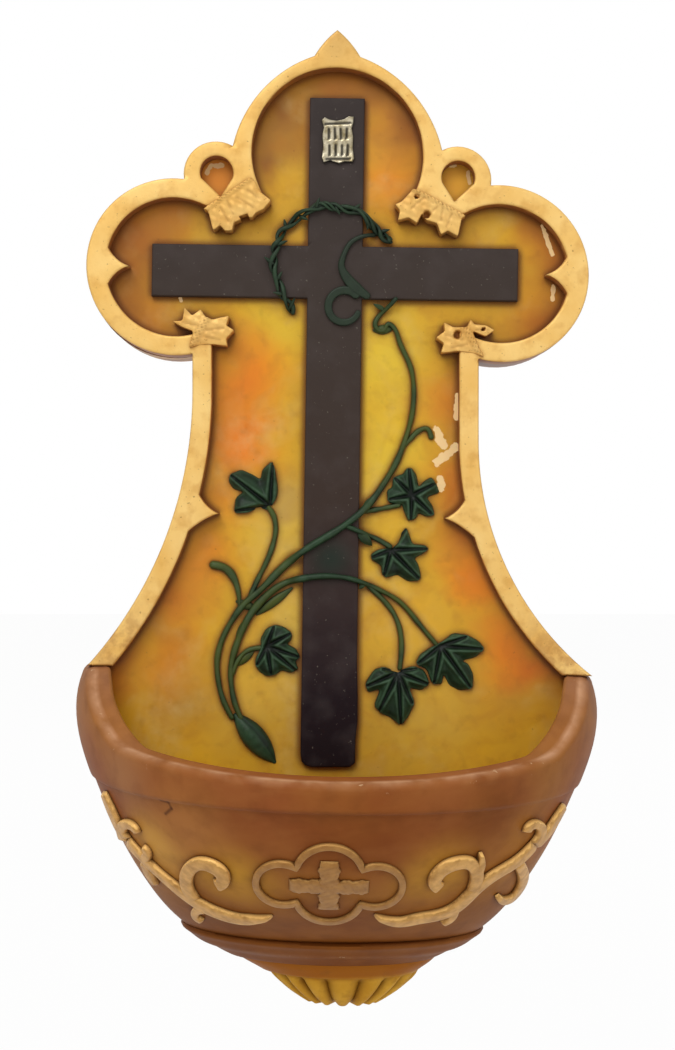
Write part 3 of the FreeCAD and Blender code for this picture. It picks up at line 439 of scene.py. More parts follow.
def makeAmber():
    # polyester casting resin, clouded by pigment poured in while soft: warm, slightly
    # translucent, satin on the face; the sides carry a brown stain; painted shade beside
    # raised work and painted light in the recessed ear holes
    material, tree, shader, place = startMaterial(amber["name"], 0.42, ior=1.54, gloss=0.25)
    warp = addNode(tree, "ShaderNodeTexNoise", None, {"Vector": place, "Scale": 1000.0 / 14.3, "Detail": 3.0})
    shift = addNode(tree, "ShaderNodeVectorMath", {"operation": "MULTIPLY_ADD"},
                    {0: warp.outputs["Color"], 1: (0.014, 0.0, 0.014), 2: place}).outputs["Vector"]
    shift = addNode(tree, "ShaderNodeVectorMath", {"operation": "ADD"},
                    {0: shift, 1: (-0.007, 0.0, -0.007)}).outputs["Vector"]
    colour = amber["base"]
    for centre, reach, code in amber["clouds"] + amber["browns"]:
        mask = spotMask(tree, shift, onFace(centre), reach)
        colour = coat(tree, colour, code, mask, 0.9)
    mottle = noiseMask(tree, place, 9.0, 0.35, 0.7)
    colour = coat(tree, colour, "#F2D878", mottle, 0.42, mode="SOFT_LIGHT")
    streaks = noiseMask(tree, shift, 4.5, 0.46, 0.72)
    colour = coat(tree, colour, "#A65E1C", streaks, 0.22)
    dirt = noiseMask(tree, place, 3.0, 0.56, 0.74)
    colour = coat(tree, colour, "#7A4A1C", dirt, 0.16)
    specks = noiseMask(tree, place, 0.8, 0.70, 0.76)
    colour = coat(tree, colour, "#6A3C18", specks, 0.4)
    cream = overlap(tree, noiseMask(tree, shift, 13.0, 0.52, 0.72), noiseMask(tree, place, 2.5, 0.2, 0.7))
    colour = coat(tree, colour, "#E2C988", cream, 0.35)
    # painted shade: brown within a wide reach of the border, cross and ivy, and dark brown in the tight
    # corners beside them
    colour = coat(tree, colour, "#A06824", hollowShadeMask(tree, 8.0, 0.35), 0.50)
    colour = coat(tree, colour, "#6E3A0C", hollowShadeMask(tree, 1.6, 0.60), 0.85)
    # painted light laid over the shade in the recessed ear holes
    for centre, reach, code in amber["litEars"]:
        mask = spotMask(tree, place, onFace(centre), reach)
        colour = coat(tree, colour, code, mask, 0.85)
    ragged = addNode(tree, "ShaderNodeTexNoise", None,
                     {"Vector": place, "Scale": 1000.0 / 1.25, "Detail": 2.0})
    for start, end, radius in amber["flakes"]:
        start, end = onFace(start), onFace(end)
        bitten = addNode(tree, "ShaderNodeMath", {"operation": "MULTIPLY_ADD"},
                         {0: ragged.outputs["Fac"], 1: 1.3, 2: runMask(tree, place, start, end, radius)})
        flake = addNode(tree, "ShaderNodeMapRange", {"clamp": True},
                        {"Value": bitten.outputs[0], "From Min": 0.98, "From Max": 1.06})
        kept = addNode(tree, "ShaderNodeMath", {"operation": "GREATER_THAN"},
                       {0: runMask(tree, place, start, end, radius * 1.15), 1: 0.02})
        flake = overlap(tree, flake.outputs["Result"], kept.outputs[0])
        colour = coat(tree, colour, "#FBD69A", flake)
    facing = addNode(tree, "ShaderNodeSeparateXYZ", None,
                     {0: addNode(tree, "ShaderNodeTexCoord").outputs["Normal"]}).outputs["Y"]
    onSide = addNode(tree, "ShaderNodeMapRange", {"clamp": True},
                     {"Value": facing, "From Min": -0.75, "From Max": -0.35}).outputs["Result"]
    stain = coat(tree, "#9C6A48", "#83512C", noiseMask(tree, place, 7.0, 0.3, 0.7))
    across = addNode(tree, "ShaderNodeSeparateXYZ", None, {0: place}).outputs["X"]
    onLeft = addNode(tree, "ShaderNodeMapRange", {"interpolation_type": "SMOOTHSTEP"},
                     {"Value": across, "From Min": 0.010, "From Max": -0.025}).outputs["Result"]
    gilded = coat(tree, "#A0683A", "#D8A456", noiseMask(tree, place, 4.0, 0.35, 0.6))
    stain = coat(tree, stain, gilded, onLeft)     # gold paint runs down the left side
    onBack = addNode(tree, "ShaderNodeMath", {"operation": "GREATER_THAN"}, {0: facing, 1: 0.6}).outputs[0]
    rear = coat(tree, "#B07A38", "#9A6430", noiseMask(tree, place, 18.0, 0.3, 0.7))
    stain = coat(tree, stain, rear, onBack)       # the back is left unpainted
    colour = coat(tree, colour, stain, onSide)
    tree.links.new(colour, shader.inputs["Base Color"])
    shader.inputs["Subsurface Weight"].default_value = 0.12
    shader.inputs["Subsurface Radius"].default_value = (1.0, 0.45, 0.15)
    shader.inputs["Subsurface Scale"].default_value = 0.003
    grainBump(tree, shader, place, amber["grain"])
    return material


gilding = {
    "name": "brushed-on gold paint",
    "base": "#F2C067",
    "light": "#FDD483",
    "deep": "#D1933C",
    "speck": "#8A5A22",
    # duller brown gold over the arch: middle, reach, colour and share
    "dulled": (
        ((0, -13.5, 36), 11.0, "#B07C30", 0.5), ((-9, -13.5, 28), 14.0, "#C49240", 0.3),
        ((10, -13.5, 27), 12.0, "#D2A04A", 0.25)),
    "wearAndHighlight": (((-44, -13.5, -88), 13.0), ((46, -13.5, -90), 14.0)),      # worn feet of the border
    "grain": ((14.0, 0.14), (2.2, 0.08), (0.5, 0.03)),
}


def makeGilding():
    # metallic paint brushed on resin: flat warm gold with small dark pits, worn brown on the
    # sides where the brush missed
    material, tree, shader, place = startMaterial(gilding["name"], 0.46, 0.25, gloss=0.3)
    colour = coat(tree, gilding["base"], gilding["light"], noiseMask(tree, place, 8.0, 0.3, 0.7))
    deep = noiseMask(tree, place, 3.2, 0.50, 0.70)
    colour = coat(tree, colour, gilding["deep"], deep, 0.42)
    for centre, reach, code, share in gilding["dulled"]:
        dull = addNode(tree, "ShaderNodeMath", {"operation": "MULTIPLY_ADD"},
                       {0: noiseMask(tree, place, 4.0, 0.3, 0.7), 1: 0.4, 2: 0.6})
        dull = overlap(tree, spotMask(tree, place, centre, reach), dull.outputs[0], share)
        colour = coat(tree, colour, code, dull)
    for centre, reach in gilding["wearAndHighlight"]:
        foot = overlap(tree, spotMask(tree, place, centre, reach), noiseMask(tree, place, 2.0, 0.4, 0.6))
        colour = coat(tree, colour, "#B98040", foot, 0.6)
    pits = noiseMask(tree, place, 0.7, 0.67, 0.73)
    colour = coat(tree, colour, gilding["speck"], pits, 0.55)
    facing = addNode(tree, "ShaderNodeSeparateXYZ", None,
                     {0: addNode(tree, "ShaderNodeTexCoord").outputs["Normal"]}).outputs["Y"]
    ragged = addNode(tree, "ShaderNodeMath", {"operation": "MULTIPLY_ADD"},
                     {0: noiseMask(tree, place, 5.0, 0.35, 0.75), 1: -0.35, 2: facing})
    onSide = addNode(tree, "ShaderNodeMapRange", {"clamp": True},
                     {"Value": ragged.outputs[0], "From Min": -0.62, "From Max": -0.30}).outputs["Result"]
    aged = addNode(tree, "ShaderNodeAttribute", {"attribute_name": "aged"}).outputs["Fac"]
    bare = coat(tree, "#A8692C", "#8C5634", noiseMask(tree, place, 6.0, 0.35, 0.65))
    spared = addNode(tree, "ShaderNodeMath", {"operation": "MULTIPLY_ADD"},
                     {0: aged, 1: -1.3, 2: 1.0}).outputs[0]
    colour = coat(tree, colour, bare, onSide, spared)
    colour = coat(tree, colour, "#CC9040", aged, noiseMask(tree, place, 3.0, 0.15, 0.7))
    # painted shade: dark in the scores, creases and drilled holes of the sprigs, and in the hollows
    groove = addNode(tree, "ShaderNodeAttribute", {"attribute_name": "groove"}).outputs["Fac"]
    colour = coat(tree, colour, "#744212", groove, 0.9)
    colour = coat(tree, colour, "#9C5F1E", hollowShadeMask(tree, 0.9), 0.7)
    tree.links.new(colour, shader.inputs["Base Color"])
    grainBump(tree, shader, place, gilding["grain"])
    return material


umber = {
    "name": "red-brown stained resin",
    "grain": ((30.0, 0.35), (6.0, 0.06), (1.0, 0.02)),
    # colour from the foot up to the rim, a stain that darkens towards the foot as painted shade under the
    # bowl: share of the height and colour
    "bands": (
        (0.0, "#7A4216"), (0.10, "#7C4419"), (0.22, "#834A18"), (0.38, "#A0682A"), (0.50, "#985A2A"),
        (0.62, "#8C4C26"), (0.74, "#92532C"), (0.88, "#A06636"), (1.0, "#9A6848")),
    # patches of lighter or darker colour: middle, reach and colour; the four dark ones from -143 down are
    # painted shade under the body
    "patches": (
        ((-21, -38, -131), 13, "#D09A30"), ((20, -40, -130), 13, "#C69030"),
        ((-36, -32, -127), 14, "#DDA64C"), ((36, -32, -124), 12, "#A46A24"),
        ((-28, -40, -120), 14, "#B0743F"), ((0, -46, -132), 10, "#94581C"), ((4, -51, -121), 18, "#7A3D18"),
        ((-42, -34, -112), 13, "#A4704A"), ((30, -44, -120), 14, "#7A4218"),
        ((42, -34, -112), 14, "#9C6430"), ((-26, -24, -145), 15, "#67330F"),
        ((26, -20, -144), 12, "#744014"), ((0, -30, -143), 20, "#6E3612"), ((0, -22, -149), 14, "#7E4410"),
        ((0, -52, -106), 22, "#86461E")),
    # a hooked mark, in straight runs
    "nicks": (
        ((-33.7, -40.1, -115.9), (-32.1, -41.3, -116.1)),
        ((-32.1, -41.3, -116.1), (-31.5, -41.0, -117.3)),
        ((-31.5, -41.0, -117.3), (-32.8, -39.0, -118.6))),
}


def makeUmber():
    # the bowl: amber resin under a matte red-brown stain, mauve on the lip, rubbed back to
    # yellow between the scrolls, and bare amber inside; painted highlights along the rim and
    # the ring, and painted shade under the body and in creases
    material, tree, shader, place = startMaterial(umber["name"], 0.52, gloss=0.07)
    height = addNode(tree, "ShaderNodeSeparateXYZ", None, {0: place}).outputs["Z"]
    sway = addNode(tree, "ShaderNodeMath", {"operation": "MULTIPLY_ADD"},
                   {0: noiseMask(tree, place, 22.0, 0.2, 0.8), 1: 0.006, 2: height})
    level = addNode(tree, "ShaderNodeMapRange", {"clamp": True},
                    {"Value": sway.outputs[0], "From Min": -0.155, "From Max": -0.092}).outputs["Result"]
    colour = addNode(tree, "ShaderNodeValToRGB", {"ramp": umber["bands"]}, {"Fac": level}).outputs["Color"]
    for centre, reach, code in umber["patches"]:
        colour = coat(tree, colour, code, spotMask(tree, place, centre, reach), 0.85)
    clouds = noiseMask(tree, place, 16.0, 0.35, 0.68)
    colour = coat(tree, colour, "#B07434", clouds, 0.24)
    dusk = noiseMask(tree, place, 5.0, 0.46, 0.72)
    colour = coat(tree, colour, "#5E3014", dusk, 0.26)
    smears = addNode(tree, "ShaderNodeVectorMath", {"operation": "MULTIPLY"},
                     {0: place, 1: (0.35, 0.35, 1.0)}).outputs[0]
    colour = coat(tree, colour, "#B47840", noiseMask(tree, smears, 2.6, 0.50, 0.74), 0.12)
    inside = addNode(tree, "ShaderNodeAttribute", {"attribute_name": "inside"}).outputs["Fac"]
    bare = coat(tree, "#BC8A3E", "#A06A30", noiseMask(tree, place, 14.0, 0.3, 0.7))
    colour = coat(tree, colour, bare, inside)
    # painted highlight along the edge of the rim and along the lower edge of the ring, broken into patches
    # and fine flecks
    rub = addNode(tree, "ShaderNodeAttribute", {"attribute_name": "rub"}).outputs["Fac"]
    wearAndHighlight = overlap(tree, rub, noiseMask(tree, place, 4.0, 0.45, 0.72))
    colour = coat(tree, colour, "#B07C50", wearAndHighlight, 0.25)
    highlightFlecks = overlap(tree, rub, noiseMask(tree, place, 1.3, 0.69, 0.75))
    colour = coat(tree, colour, "#DDBB92", highlightFlecks, 0.75)
    # a fainter painted highlight along the rounded outer edge of the rim
    crest = addNode(tree, "ShaderNodeAttribute", {"attribute_name": "crest"}).outputs["Fac"]
    crest = overlap(tree, crest, noiseMask(tree, place, 6.0, 0.30, 0.60))
    colour = coat(tree, colour, "#C89670", crest, 0.38)
    for start, end in umber["nicks"]:
        colour = coat(tree, colour, "#4E2812", runMask(tree, place, start, end, 0.55), 0.9)
    # painted shade in creases and beside the relief
    colour = coat(tree, colour, "#5E2F12", hollowShadeMask(tree, 1.8), 0.75)
    tree.links.new(colour, shader.inputs["Base Color"])
    grainBump(tree, shader, place, umber["grain"])
    return material


def makeOchre():
    # the pendant: the same resin with a thin ochre stain, painted shade in the flutes and on the collar under
    # the ring
    material, tree, shader, place = startMaterial("ochre stained resin", 0.5, gloss=0.08)
    colour = coat(tree, "#C48C26", "#DCA83C", noiseMask(tree, place, 7.0, 0.35, 0.7))
    # painted shade: darker brown on the collar just under the ring
    height = addNode(tree, "ShaderNodeSeparateXYZ", None, {0: place}).outputs["Z"]
    high = addNode(tree, "ShaderNodeMapRange", {"interpolation_type": "SMOOTHSTEP"},
                   {"Value": height, "From Min": -0.1586, "From Max": -0.1566}).outputs["Result"]
    colour = coat(tree, colour, "#9A5410", high, 0.9)
    # painted shade in the grooves of the flutes
    groove = addNode(tree, "ShaderNodeAttribute", {"attribute_name": "groove"}).outputs["Fac"]
    colour = coat(tree, colour, "#653A0C", groove, 0.8)
    blot = noiseMask(tree, place, 2.6, 0.55, 0.72)
    colour = coat(tree, colour, "#80501E", blot, 0.35)
    tree.links.new(colour, shader.inputs["Base Color"])
    grainBump(tree, shader, place, ((5.0, 0.08), (0.9, 0.02)))
    return material


def makeSlate():
    # the cross: flat slate-brown paint with a dusty bloom, nearly black at the foot as painted
    # shade inside the bowl, and a green wash where the two vines cross it
    material, tree, shader, place = startMaterial("flat slate-brown paint", 0.58, gloss=0.15)
    height = addNode(tree, "ShaderNodeSeparateXYZ", None, {0: place}).outputs["Z"]
    sway = addNode(tree, "ShaderNodeMath", {"operation": "MULTIPLY_ADD"},
                   {0: noiseMask(tree, place, 9.0, 0.2, 0.8), 1: 0.010, 2: height})
    level = addNode(tree, "ShaderNodeMapRange", {"clamp": True},
                    {"Value": sway.outputs[0], "From Min": -0.112, "From Max": 0.030}).outputs["Result"]
    # nearly black at the foot as painted shade inside the bowl, rising to the slate brown of the paint
    shades = ((0.0, "#16090C"), (0.12, "#1D1015"), (0.26, "#332625"), (0.40, "#3B2E28"), (0.70, "#3E342F"),
              (1.0, "#39312F"))
    colour = addNode(tree, "ShaderNodeValToRGB", {"ramp": shades}, {"Fac": level}).outputs["Color"]
    bloom = noiseMask(tree, place, 6.0, 0.45, 0.75)
    colour = coat(tree, colour, "#504745", bloom, 0.30)
    wash = spotMask(tree, place, (-1.4, -11.2, -70.6), 6.6)
    colour = coat(tree, colour, "#1D2E25", wash, 0.75)
    dust = noiseMask(tree, place, 0.6, 0.70, 0.75)
    colour = coat(tree, colour, "#7B7468", dust, 0.5)
    tree.links.new(colour, shader.inputs["Base Color"])
    grainBump(tree, shader, place, ((8.0, 0.08), (0.7, 0.02)))
    return material


def makeIvyPaint():
    # dark green paint over cast ivy, with a painted highlight on what stands proud and painted
    # shade nearly black in the grooves; the highlight and groove shares come with each mesh
    material, tree, shader, place = startMaterial("dark green ivy paint", 0.46, gloss=0.22)
    colour = coat(tree, "#1C2C1C", "#253E26", noiseMask(tree, place, 3.0, 0.35, 0.7))
    olive = addNode(tree, "ShaderNodeAttribute", {"attribute_name": "olive"}).outputs["Fac"]
    colour = coat(tree, colour, "#47501B", olive, noiseMask(tree, place, 6.0, 0.25, 0.6))
    # painted highlight on what stands proud
    ridge = addNode(tree, "ShaderNodeAttribute", {"attribute_name": "ridge"}).outputs["Fac"]
    highlit = overlap(tree, ridge, noiseMask(tree, place, 2.0, 0.25, 0.6))
    colour = coat(tree, colour, "#48664A", highlit, 0.75)
    dull = addNode(tree, "ShaderNodeAttribute", {"attribute_name": "dull"}).outputs["Fac"]
    colour = coat(tree, colour, "#262B23", dull)     # slate paint brushed over it
    # painted shade: nearly black in the grooves and beside raised work
    groove = addNode(tree, "ShaderNodeAttribute", {"attribute_name": "groove"}).outputs["Fac"]
    colour = coat(tree, colour, "#060C09", groove)
    colour = coat(tree, colour, "#080E0A", hollowShadeMask(tree, 0.9), 0.8)
    tree.links.new(colour, shader.inputs["Base Color"])
    grainBump(tree, shader, place, ((1.6, 0.04), (0.4, 0.015)))
    return material


def makeAntiqueGold():
    # the relief on the bowl: gold paint rubbed back to a brown bronze, with a painted highlight
    # on the edges that face up
    material, tree, shader, place = startMaterial("antique gold rubbed paint", 0.44, 0.2)
    normal = addNode(tree, "ShaderNodeSeparateXYZ", None,
                     {0: addNode(tree, "ShaderNodeTexCoord").outputs["Normal"]})
    lift = addNode(tree, "ShaderNodeMath", {"operation": "MULTIPLY_ADD"},
                   {0: noiseMask(tree, place, 1.5, 0.3, 0.7), 1: 0.75, 2: normal.outputs["Z"]})
    highlightShare = addNode(tree, "ShaderNodeMapRange", {"interpolation_type": "SMOOTHSTEP"},
                     {"Value": lift.outputs[0], "From Min": 0.24, "From Max": 0.72}).outputs["Result"]
    gilt = addNode(tree, "ShaderNodeAttribute", {"attribute_name": "gilt"}).outputs["Fac"]
    body = coat(tree, "#9C6A34", "#845426", noiseMask(tree, place, 4.0, 0.35, 0.65))
    body = coat(tree, body, "#BC8A46", gilt, 0.7)
    patches = overlap(tree, gilt, noiseMask(tree, place, 2.2, 0.25, 0.65))
    body = coat(tree, body, "#E4B066", patches, 0.85)
    colour = coat(tree, body, "#FFCB78", highlightShare, gilt)
    groove = addNode(tree, "ShaderNodeAttribute", {"attribute_name": "groove"}).outputs["Fac"]
    colour = coat(tree, colour, "#6E4420", groove, 0.7)
    # painted shade in the hollows
    colour = coat(tree, colour, "#5A3212", hollowShadeMask(tree, 1.0), 0.8)
    tree.links.new(colour, shader.inputs["Base Color"])
    grainBump(tree, shader, place, ((3.4, 0.16), (1.2, 0.05), (0.5, 0.02)))
    return material


def makeSilvering():
    # the plaque: champagne metallic paint wiped over black
    material, tree, shader, place = startMaterial("champagne metallic paint", 0.28, 0.7, gloss=0.5)
    colour = coat(tree, "#EADFC2", "#97875F", noiseMask(tree, place, 1.6, 0.35, 0.7))
    groove = addNode(tree, "ShaderNodeAttribute", {"attribute_name": "groove"}).outputs["Fac"]
    colour = coat(tree, colour, "#0C0907", groove)
    # painted shade in the hollows
    colour = coat(tree, colour, "#1A140F", hollowShadeMask(tree, 0.7))
    tree.links.new(colour, shader.inputs["Base Color"])
    grainBump(tree, shader, place, ((1.2, 0.06), (0.4, 0.02)))
    return material


def makePlating(name, light, dark):
    # mild steel, zinc plated: the faint spangle of the plating; passivating turns it yellow
    material, tree, shader, place = startMaterial(name, 0.34, 1.0, gloss=0.5)
    spangle = addNode(tree, "ShaderNodeTexVoronoi", None, {"Vector": place, "Scale": 1000.0 / 2.38})
    colour = coat(tree, light, dark, spangle.outputs["Distance"], 0.5)
    # painted shade in the hollows
    colour = coat(tree, colour, "#3A342A", hollowShadeMask(tree, 0.8), 0.7)
    tree.links.new(colour, shader.inputs["Base Color"])
    grainBump(tree, shader, place, ((3.0, 0.01), (0.3, 0.004)))
    return material


amberResin = makeAmber()
goldPaint = makeGilding()
brownResin = makeUmber()
ochreResin = makeOchre()
slatePaint = makeSlate()
ivyPaint = makeIvyPaint()
antiqueGold = makeAntiqueGold()
silvering = makeSilvering()
zincSteel = makePlating("bright zinc-plated steel", "#B9BCC0", "#8F9499")
yellowSteel = makePlating("yellow-passivated steel", "#CDB06A", "#9C7E3C")

print("stage: carried-over solids")

for nodeName, finish in (("back_panel", amberResin), ("keyhole_hanger", zincSteel)):
    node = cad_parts[nodeName]
    for slot in node.material_slots:
        slot.material = finish

print("stage: hanger screws")

screws = {
    "places": ((-12.5, 3.5), (12.5, 3.5)),
    "headRadius": 2.5,
    "headDepth": 1.3,
    "shankRadius": 1.3,
    "length": 6.0,
    "recess": (1.25, 0.30, 0.75),     # reach, half width and depth of its cross
    "pitch": 0.9,
}


def makeScrews():
    # countersunk head with a cross recess, and a threaded shank, for each screw
    reach, half, depth = screws["recess"]
    turn = np.linspace(0, 2 * math.pi, 48, endpoint=False)
    disc = screws["headRadius"] * np.stack([np.cos(turn), np.sin(turn)], -1)

    def height(x, z, edge):
        # flat top less the cross, whose floor falls away towards the middle
        arms = [np.hypot(np.maximum(np.abs(u) - reach, 0), v) for u, v in ((x, z), (z, x))]
        cut = np.clip((half - np.minimum(*arms)) / 0.10, 0, 1)
        return screws["headDepth"] - depth * cut * (1 - 0.4 * np.hypot(x, z) / reach)

    head, faces, flat, _ = reliefPlate([disc], 0.0, height, 0.2, 0.08)
    head[:, 1] = -screws["headDepth"] - head[:, 1]
    head[len(flat):, [0, 2]] *= screws["shankRadius"] / screws["headRadius"]
    # the shank: rings down its length, whose radius rises and falls with the thread
    down = np.linspace(screws["headDepth"] - 0.1, screws["length"], 90)
    thread = np.abs((down / screws["pitch"]) % 1.0 - 0.5) * 2
    radius = (screws["shankRadius"] - 0.25 * thread) * np.clip((screws["length"] - down) / 1.2, 1e-5, 1)
    radius = np.concatenate([[1e-5], radius])
    down = np.concatenate([down[:1], down])
    ring = np.stack([np.cos(turn[::2]), np.zeros(24), np.sin(turn[::2])], -1)
    shank = ring[None] * radius[:, None, None] - down[:, None, None] * np.array([0.0, 1.0, 0.0])
    groups = []
    for x, z in screws["places"]:
        place = np.array([x, 0.0, z])
        groups.append((head + place, faces))
        groups.append((shank + place, gridQuads(len(down), 24, loopColumns=True)))
    piece = meshPiece("hangerScrews", groups)
    sharpen(piece, 40)
    return dress(piece, yellowSteel, ["hanger_screws"])


makeScrews()

print("stage: gilt border")

border = {
    "apex": (0.0, 38.1),
    "ogeeMiddle": (2.8, 35.4),
    "ogeeFoot": (4.7, 32.7),
    "shoulder": (16.4, 24.4),
    "ear": ((24.8, 7.9), 6.8),
    "lobe": ((33.4, -11.25), 18.2),
    "width": 4.0,
    # half width of the neck, where its side begins to flare and the radius of the flare
    "right": (29.0, -46.0, 60.0),
    "left": (29.8, -36.5, 86.0),
    "archCentre": 12.7,
    "archRadius": 17.6,
    "cusp": (4.8, 3.8),     # depth and half base
    "neckCusp": -61.7,
    # degrees: where the shoulder meets the ear, where the arch ends and where the lobe begins
    "earStart": 119,
    "archEnd": -28,
    "lobeStart": 130,
    "earHole": (3.4, 0.4, 4.9, 0.8),      # radius and lift, drop and drift of its point
    "back": -8.0,
}


def arcThrough(a, b, c, count):
    # circle through three spots, from a past b to c, end left out
    a, b, c = (complex(*p) for p in (a, b, c))
    w = (c - a) / (b - a)
    centre = a + (b - a) * (w - abs(w) ** 2) / (2j * w.imag)
    first, last, middle = (np.angle(p - centre) for p in (a, c, b))
    sweep = (last - first) % (2 * math.pi)
    if (middle - first) % (2 * math.pi) > sweep:
        sweep -= 2 * math.pi
    turn = first + sweep * np.arange(count) / count
    radius = abs(a - centre)
    return np.stack([centre.real + radius * np.cos(turn), centre.imag + radius * np.sin(turn)], -1)


def circleRun(centre, radius, first, last, count):
    # part of a circle between two angles in degrees, end left out
    turn = np.radians(first + (last - first) * np.arange(count) / count)
    return np.stack([centre[0] + radius * np.cos(turn), centre[1] + radius * np.sin(turn)], -1)


def flareRun(flare, top, bottom, inset, count):
    # a flaring side between two heights, moved in by inset
    neckX, neckZ, radius = flare
    z = top + (bottom - top) * np.arange(count) / count
    return np.stack([neckX + radius - np.sqrt((radius + inset) ** 2 - (z - neckZ) ** 2), z], -1)


def borderHalf(flare):
    # right half of the outer edge, from the apex down to the seat, with the flare given
    (earX, earZ), earR = border["ear"]
    (lobeX, lobeZ), lobeR = border["lobe"]
    first = border["earStart"]
    earStart = circleRun((earX, earZ), earR, first, first + 1, 1)[0]
    gap = math.hypot(lobeX - earX, lobeZ - earZ)
    share = (gap ** 2 + earR ** 2 - lobeR ** 2) / (2 * gap)
    lift = math.sqrt(earR ** 2 - share ** 2)
    meet = np.array([earX + (share * (lobeX - earX) - lift * (lobeZ - earZ)) / gap,
                     earZ + (share * (lobeZ - earZ) + lift * (lobeX - earX)) / gap])
    earEnd = math.degrees(math.atan2(meet[1] - earZ, meet[0] - earX))
    lobeFirst = math.degrees(math.atan2(meet[1] - lobeZ, meet[0] - lobeX))
    neckX, neckZ, _ = flare
    lobeLast = -180 + math.degrees(math.acos((lobeX - neckX) / lobeR))
    return np.concatenate([
        arcThrough(border["apex"], border["ogeeMiddle"], border["ogeeFoot"], 8),
        arcThrough(border["ogeeFoot"], border["shoulder"], earStart, 24),
        circleRun((earX, earZ), earR, first, earEnd, 14),
        circleRun((lobeX, lobeZ), lobeR, lobeFirst, lobeLast, 48),
        [[neckX, lobeZ - math.sqrt(lobeR ** 2 - (neckX - lobeX) ** 2)]],
        flareRun(flare, neckZ, plate["seat"], 0.0, 30),
        flareRun(flare, plate["seat"], plate["seat"] - 1, 0.0, 1)])


def openingHalf(flare):
    # right half of the opening, from the top of its arch down to the seat
    width, (depth, half) = border["width"], border["cusp"]
    (lobeX, lobeZ), lobeR = border["lobe"]
    inner = lobeR - width
    lean = math.degrees(half / inner)
    tip = np.array([lobeX + inner - depth, lobeZ])
    root = circleRun((lobeX, lobeZ), inner, lean, 0, 1)[0]
    cuspSide = arcThrough(root, (tip[0] + depth * 0.55, tip[1] + half * 0.4), tip, 6)
    neckX, neckZ = flare[0] - width, flare[1]
    lobeLast = -180 + math.degrees(math.acos((lobeX - neckX) / inner))
    neckCusp = border["neckCusp"]
    above = flareRun(flare, neckCusp + half, neckCusp, width, 1)[0]
    tipNeck = flareRun(flare, neckCusp, neckCusp - 1, width + depth, 1)[0]
    below = flareRun(flare, neckCusp - half, neckCusp - half - 1, width, 1)[0]
    hollow = flareRun(flare, neckCusp + half * 0.4, neckCusp, width + depth * 0.45, 1)[0]
    hollowLow = flareRun(flare, neckCusp - half * 0.4, neckCusp - half, width + depth * 0.45, 1)[0]
    arch, archEnd = ((0.0, border["archCentre"]), border["archRadius"]), border["archEnd"]
    return np.concatenate([
        circleRun(*arch, 90, archEnd, 40), circleRun(*arch, archEnd, archEnd - 1, 1),
        circleRun((lobeX, lobeZ), inner, border["lobeStart"], lean, 30), cuspSide,
        [tip], (2 * np.array([0, lobeZ]) - cuspSide[::-1] * [-1, 1]),
        circleRun((lobeX, lobeZ), inner, -lean, lobeLast, 30),
        [[neckX, lobeZ - math.sqrt(inner ** 2 - (neckX - lobeX) ** 2)]],
        flareRun(flare, neckZ, neckCusp + half, width, 12), arcThrough(above, hollow, tipNeck, 6),
        arcThrough(tipNeck, hollowLow, below, 6), flareRun(flare, neckCusp - half, plate["seat"], width, 16),
        flareRun(flare, plate["seat"], plate["seat"] - 1, width, 1)])


def earHole(side):
    # round above, drawn out to a point below
    radius, lift, drop, drift = border["earHole"]
    x, z = side * border["ear"][0][0], border["ear"][0][1] + lift
    bow = circleRun((x, z), radius, -20, 200, 20)
    hole = np.concatenate([bow, circleRun((x, z), radius, 200, 201, 1), [[x - side * drift, z - drop]]])
    return np.stack([hole[:, 0], skewDrop(hole[:, 0], hole[:, 1])], -1)


def makeBorder():
    # a low plate over one outline: out along the outer edge and back along the opening
    outer, opening = borderHalf(border["right"]), openingHalf(border["right"])
    outerLeft = borderHalf(border["left"])[::-1] * [-1, 1]
    openLeft = openingHalf(border["left"]) * [-1, 1]
    ring = np.concatenate([outer, opening[::-1], openLeft, outerLeft])   # open at the foot, one outline
    keep = np.linalg.norm(ring - np.roll(ring, 1, 0), axis=1) > 1e-4
    ring = ring[keep]
    ring = np.stack([ring[:, 0], skewDrop(ring[:, 0], ring[:, 1])], -1)
    rise = border["back"] - plate["borderFront"]

    def height(x, z, edge):
        # flat band with a slow ripple left by the casting
        ripple = np.sin(x * 0.21 + 1.0) * np.sin(z * 0.17) + 0.5 * np.sin(x * 0.6 + z * 0.45)
        return rise - 0.06 + 0.05 * ripple

    points, faces, _, _ = reliefPlate([ring, earHole(1), earHole(-1)], border["back"], height, 1.1, 0.55)
    piece = meshPiece("giltBorder", [(points, faces)])
    sharpen(piece, 50)
    return dress(piece, goldPaint, ["gilt_frame"])


makeBorder()

print("stage: cross and plaque")

cross = {
    "lean": 0.85,
    "top": 24.6,
    "bottom": -113.6,
    "width": 11.3,
    "thickness": 1.7,
    "beamHalf": 37.8,
    "beamZ": -11.4,
    "beamHeight": 10.8,
}


def leaning(flat):
    # the cross leans about the middle of its top
    angle = math.radians(cross["lean"])
    x, z = flat[:, 0], flat[:, 1] - cross["top"]
    return np.stack([x * math.cos(angle) + z * math.sin(angle),
                     cross["top"] - x * math.sin(angle) + z * math.cos(angle)], -1)


def crossDistance(x, z):
    # distance from a spot of the front to the outline of the cross, 0 over it
    angle = math.radians(cross["lean"])
    dz = z - cross["top"]
    u = x * math.cos(angle) - dz * math.sin(angle)
    v = cross["top"] + x * math.sin(angle) + dz * math.cos(angle)
    shaft = np.hypot(np.maximum(np.abs(u) - cross["width"] / 2, 0),
                     np.maximum(np.maximum(v - cross["top"], cross["bottom"] - v), 0))
    beam = np.hypot(np.maximum(np.abs(u) - cross["beamHalf"], 0),
                    np.maximum(np.abs(v - cross["beamZ"]) - cross["beamHeight"] / 2, 0))
    return np.minimum(shaft, beam)


